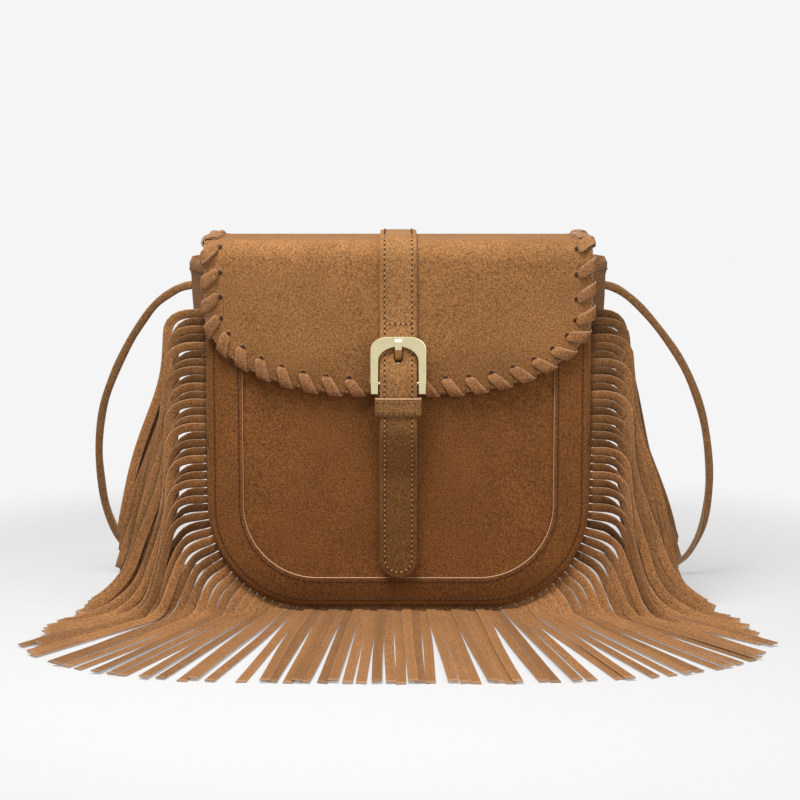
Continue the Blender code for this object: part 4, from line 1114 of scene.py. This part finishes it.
def build_belt():
    half = BELT_WIDTH / 2
    end = BELT.length
    stations = [(k * 0.0016, half) for k in range(int((end - half) / 0.0016))]
    for k in range(15):
        turn = pi / 2 * k / 14.4
        stations.append((end - half * 0.85 * (1 - sin(turn)), half * cos(turn)))
    rings, cut = [], []
    for n, (s, wide) in enumerate(stations):
        ends = min(n, len(stations) - 1 - n)
        t = BELT_THICK / 2 * (0.25, 0.7, 1)[min(ends, 2)]
        groove = 0.00022 if wide > 0.006 else 0
        rings.append([BELT.wrap(a * wide, s, b * t - dip * groove) for a, b, dip, _ in BELT_SECTION])
        cut.extend(mark for _, _, _, mark in BELT_SECTION)
    belt = piece("belt_strap", sweep(rings), SUEDE_BELT, None, "belt", cut=cut)
    build = bmesh.new()
    bmesh.ops.create_cone(build, cap_ends=True, segments=28, radius1=1, radius2=1, depth=0.03)
    mesh = bpy.data.meshes.new("punch")
    build.to_mesh(mesh)
    build.free()
    punch = new_object("punch", mesh)
    punch.scale = (0.0027, 0.0038, 1)
    punch.location = (0, BELT_AT_BAR, BAR_Z + 0.016)
    punch.rotation_euler = (pi / 2, 0, 0)
    cutter = belt.modifiers.new("hole", "BOOLEAN")
    cutter.operation = "DIFFERENCE"
    cutter.solver = "EXACT"
    cutter.object = punch
    bpy.context.view_layer.update()
    graph = bpy.context.evaluated_depsgraph_get()
    finished = bpy.data.meshes.new_from_object(belt.evaluated_get(graph))
    belt.modifiers.clear()
    belt.data = finished
    finished.polygons.foreach_set("use_smooth", [True] * len(finished.polygons))
    bpy.data.objects.remove(punch, do_unlink=True)
    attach(belt, "flap")
    rows, holes = [], []
    seam, tip = 0.0083, end - 0.011

    def sew(places, high=BELT_THICK / 2):
        """Stitches and needle holes along places on the belt, each across and along it."""
        line = []
        for x, s in places:
            here = BELT.wrap(x, s, high)
            line.append((here, BELT.wrap(x, s, high + 0.001) - here))
        rows.extend(stitch_row(line, 0.0032, 0.0018, 0.0007))
        holes.extend(stitch_row(line, 0.0032, 0.0012, 0.001, 1))

    for x in (-seam, seam):
        sew([(x, 0.004 + 0.002 * k) for k in range(ceil((tip - 0.004) / 0.002))])
    turns = [pi * k / 12 for k in range(13)]
    sew([(-seam * cos(a), tip + 0.0076 * sin(a)) for a in turns])
    level = belt_at_height(0.1803)
    sew([(x, level) for x in (-seam, 0, seam)], BELT_THICK / 2 * 1.04)
    piece("belt_stitches", joined(rows), THREAD_PALE, "flap", "belt", False)
    # Dark spindles in the needle holes: painted shade.
    piece("belt_needle_holes", joined(holes), HOLE_SHADE, "flap", "belt", False)


build_belt()


def band_round(ring, low, high, thick, columns=10):
    """A closed band round a path of (x, y), with rounded edges, between two heights."""
    n = len(ring)
    half = (high - low) / 2
    rim = [0, 0.00015, 0.0004, 0.0008, thick / 2 + 0.0001]
    us = [-half + d for d in rim[:-1]]
    us += [mix(-half + rim[-1], half - rim[-1], k / columns) for k in range(columns + 1)]
    us += [half - d for d in reversed(rim[:-1])]
    vs = list(range(n)) + [0]
    middle = (low + high) / 2
    normals = []
    for k in range(n):
        a, b = Vector(ring[k - 1]), Vector(ring[(k + 1) % n])
        d = (b - a).normalized()
        normals.append(Vector((d.y, -d.x)))

    def place(u, v, out):
        x, y = ring[v]
        return Vector((x + normals[v].x * out, y + normals[v].y * out, middle + u))

    return soft_plate(us, vs, place, thick, lambda u, v: half - abs(u)), us, normals


def build_keeper():
    half, height, thick, level = 0.0283 / 2, 0.011, 0.0013, 0.1308
    front = BELT_AT_BAR - BELT_THICK / 2 - GAP - thick / 2
    back = BAR_Y - CHAPE_OUTER + 2 * CHAPE_THICK + GAP + thick / 2
    wide = half - thick / 2
    r = 0.0018
    ring = arc(-wide + r, front + r, r, r, pi, 1.5 * pi, 6)
    for k in range(1, 12):
        x = mix(-wide + r, wide - r, k / 12)
        ring.append((x, front - 0.0004 * (1 - (x / wide) ** 2)))
    ring += arc(wide - r, front + r, r, r, 1.5 * pi, 2 * pi, 6)
    ring += arc(wide - r, back - r, r, r, 0, pi / 2, 6)
    ring += [(mix(wide - r, -wide + r, k / 6), back) for k in range(1, 6)]
    ring += arc(-wide + r, back - r, r, r, pi / 2, pi, 6)
    shape, us, normals = band_round(ring, level - height / 2, level + height / 2, thick)
    rims = []
    # The upper rim is paler than the lower one: a painted highlight where light from above catches the upper
    # edge, over the cut edge's own paler colour.
    for u in us:
        share, span = (0.8, 0.0009) if u > 0 else (0.25, 0.0006)
        rims.append(share * (1 - smooth((height / 2 - abs(u)) / span)))
    piece("keeper_loop", shape, SUEDE_BELT, "flap", "keeper", cut=rims * (2 * (len(ring) + 1)))
    rows = []
    for dz in (-0.0034, 0.0026):
        line = []
        for (x, y), n in list(zip(ring, normals))[3:20]:
            line.append(((x + n.x * thick / 2, y + n.y * thick / 2, level + dz), (n.x, n.y, 0)))
        rows += stitch_row(line, 0.0031, 0.0022, 0.00055)
    piece("keeper_stitches", joined(rows), THREAD, "flap", "keeper", False)


build_keeper()


def build_chape():
    """A doubled strap folded round the buckle's bar, split in two there for the prong."""
    width, thick, end = 0.0205, CHAPE_THICK, 0.1205
    middle = BAR_RADIUS + GAP + thick / 2
    front, back = BAR_Y - middle, BAR_Y - middle + thick + 0.00005
    loop = arc(BAR_Y, BAR_Z, middle, middle, pi, -0.3, 12)
    knots = [(front, end), (front, BAR_Z - 0.001)] + loop
    knots += [(BAR_Y + middle * 0.6, BAR_Z - 0.0034), (back, BAR_Z - 0.0068), (back, end)]
    path = Profile([Vector(p) for p in knots], 0.0006)
    parts = []
    split = 0.0026
    slot_from, slot_to = BAR_Z - end - 0.004, BAR_Z - end + 2 * middle + 0.0055
    for low, high, s0, s1 in (
        (-width / 2, width / 2, 0, slot_from), (-width / 2, -split, slot_from, slot_to),
        (split, width / 2, slot_from, slot_to), (-width / 2, width / 2, slot_to, path.length),
    ):
        us = [mix(low, high, k / 8) for k in range(9)]
        us = [low, low + 0.0002] + us[1:-1] + [high - 0.0002, high]
        vs = [mix(s0, s1, k / 16) for k in range(17)]
        parts.append(soft_plate(us, vs, lambda u, v, out: path.wrap(u, v, -out), thick * 0.96,
                                lambda u, v: min(u - low, high - u) * 2))
    piece("buckle_chape_strap", joined(parts), SUEDE_BELT, "flap", "buckle_chape")


build_chape()

for name in ("buckle_frame", "buckle_bar", "buckle_prong", "snap_socket", "snap_stud"):
    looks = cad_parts[name].data.materials
    looks.clear()
    looks.append(GOLD)


# Floor, light and background
PALE = linear((245, 245, 245))


def build_floor():
    size = 3
    corners = [(-size, -size, 0), (size, -size, 0), (size, size, 0), (-size, size, 0)]
    mesh = bpy.data.meshes.new("floor")
    mesh.from_pydata(corners, [], [(0, 1, 2, 3)])
    made, tree, shader = new_material("floor_pale")
    wire(tree, shader, {"Base Color": (0.76, 0.76, 0.76, 1), "Roughness": 0.9, "Specular IOR Level": 0.1})
    where = add(tree, "TexCoord", {}).outputs["Object"]
    away = add(tree, "VectorMath", {0: where}, operation="LENGTH").outputs["Value"]
    span = {"Value": away, "From Min": 0.3, "From Max": 0.5, "To Min": 0.35}
    fade = add(tree, "MapRange", span, interpolation_type="SMOOTHSTEP").outputs["Result"]
    clear = add(tree, "BsdfTransparent", {}).outputs["BSDF"]
    both = add(tree, "MixShader", {"Fac": fade, 1: shader.outputs["BSDF"], 2: clear})
    wire(tree, tree.nodes["Material Output"], {"Surface": both.outputs["Shader"]})
    mesh.materials.append(made)
    new_object("floor", mesh)


def build_world():
    world = bpy.data.worlds.new("studio")
    bpy.context.scene.world = world
    world.use_nodes = True
    tree = world.node_tree
    tree.nodes.clear()
    rays = add(tree, "LightPath", {}).outputs
    seen = rays["Is Camera Ray"]
    for other in ("Is Transmission Ray", "Is Glossy Ray"):
        seen = add(tree, "Math", {0: seen, 1: rays[other]}, operation="MAXIMUM").outputs[0]
    light = add(tree, "Background", {"Color": (1, 1, 1, 1), "Strength": 0.33}).outputs[0]
    back = add(tree, "Background", {"Color": (*PALE, 1), "Strength": 1}).outputs[0]
    both = add(tree, "MixShader", {"Fac": seen, 1: light, 2: back}).outputs[0]
    add(tree, "OutputWorld", {"Surface": both})


def lamp(name, place, aim, size, power):
    data = bpy.data.lights.new(name, "AREA")
    data.shape = "DISK"
    data.size = size
    data.energy = power
    made = new_object(name, data)
    made.location = place
    made.rotation_euler = (Vector(aim) - Vector(place)).to_track_quat("-Z", "Y").to_euler()


build_floor()
build_world()
lamp("key", (-0.16, -0.36, 0.95), (0, 0, 0.1), 0.5, 9)
lamp("fill", (0.7, -1, 0.6), (0, 0, 0.08), 1, 4)
bpy.context.scene.view_settings.view_transform = "Standard"
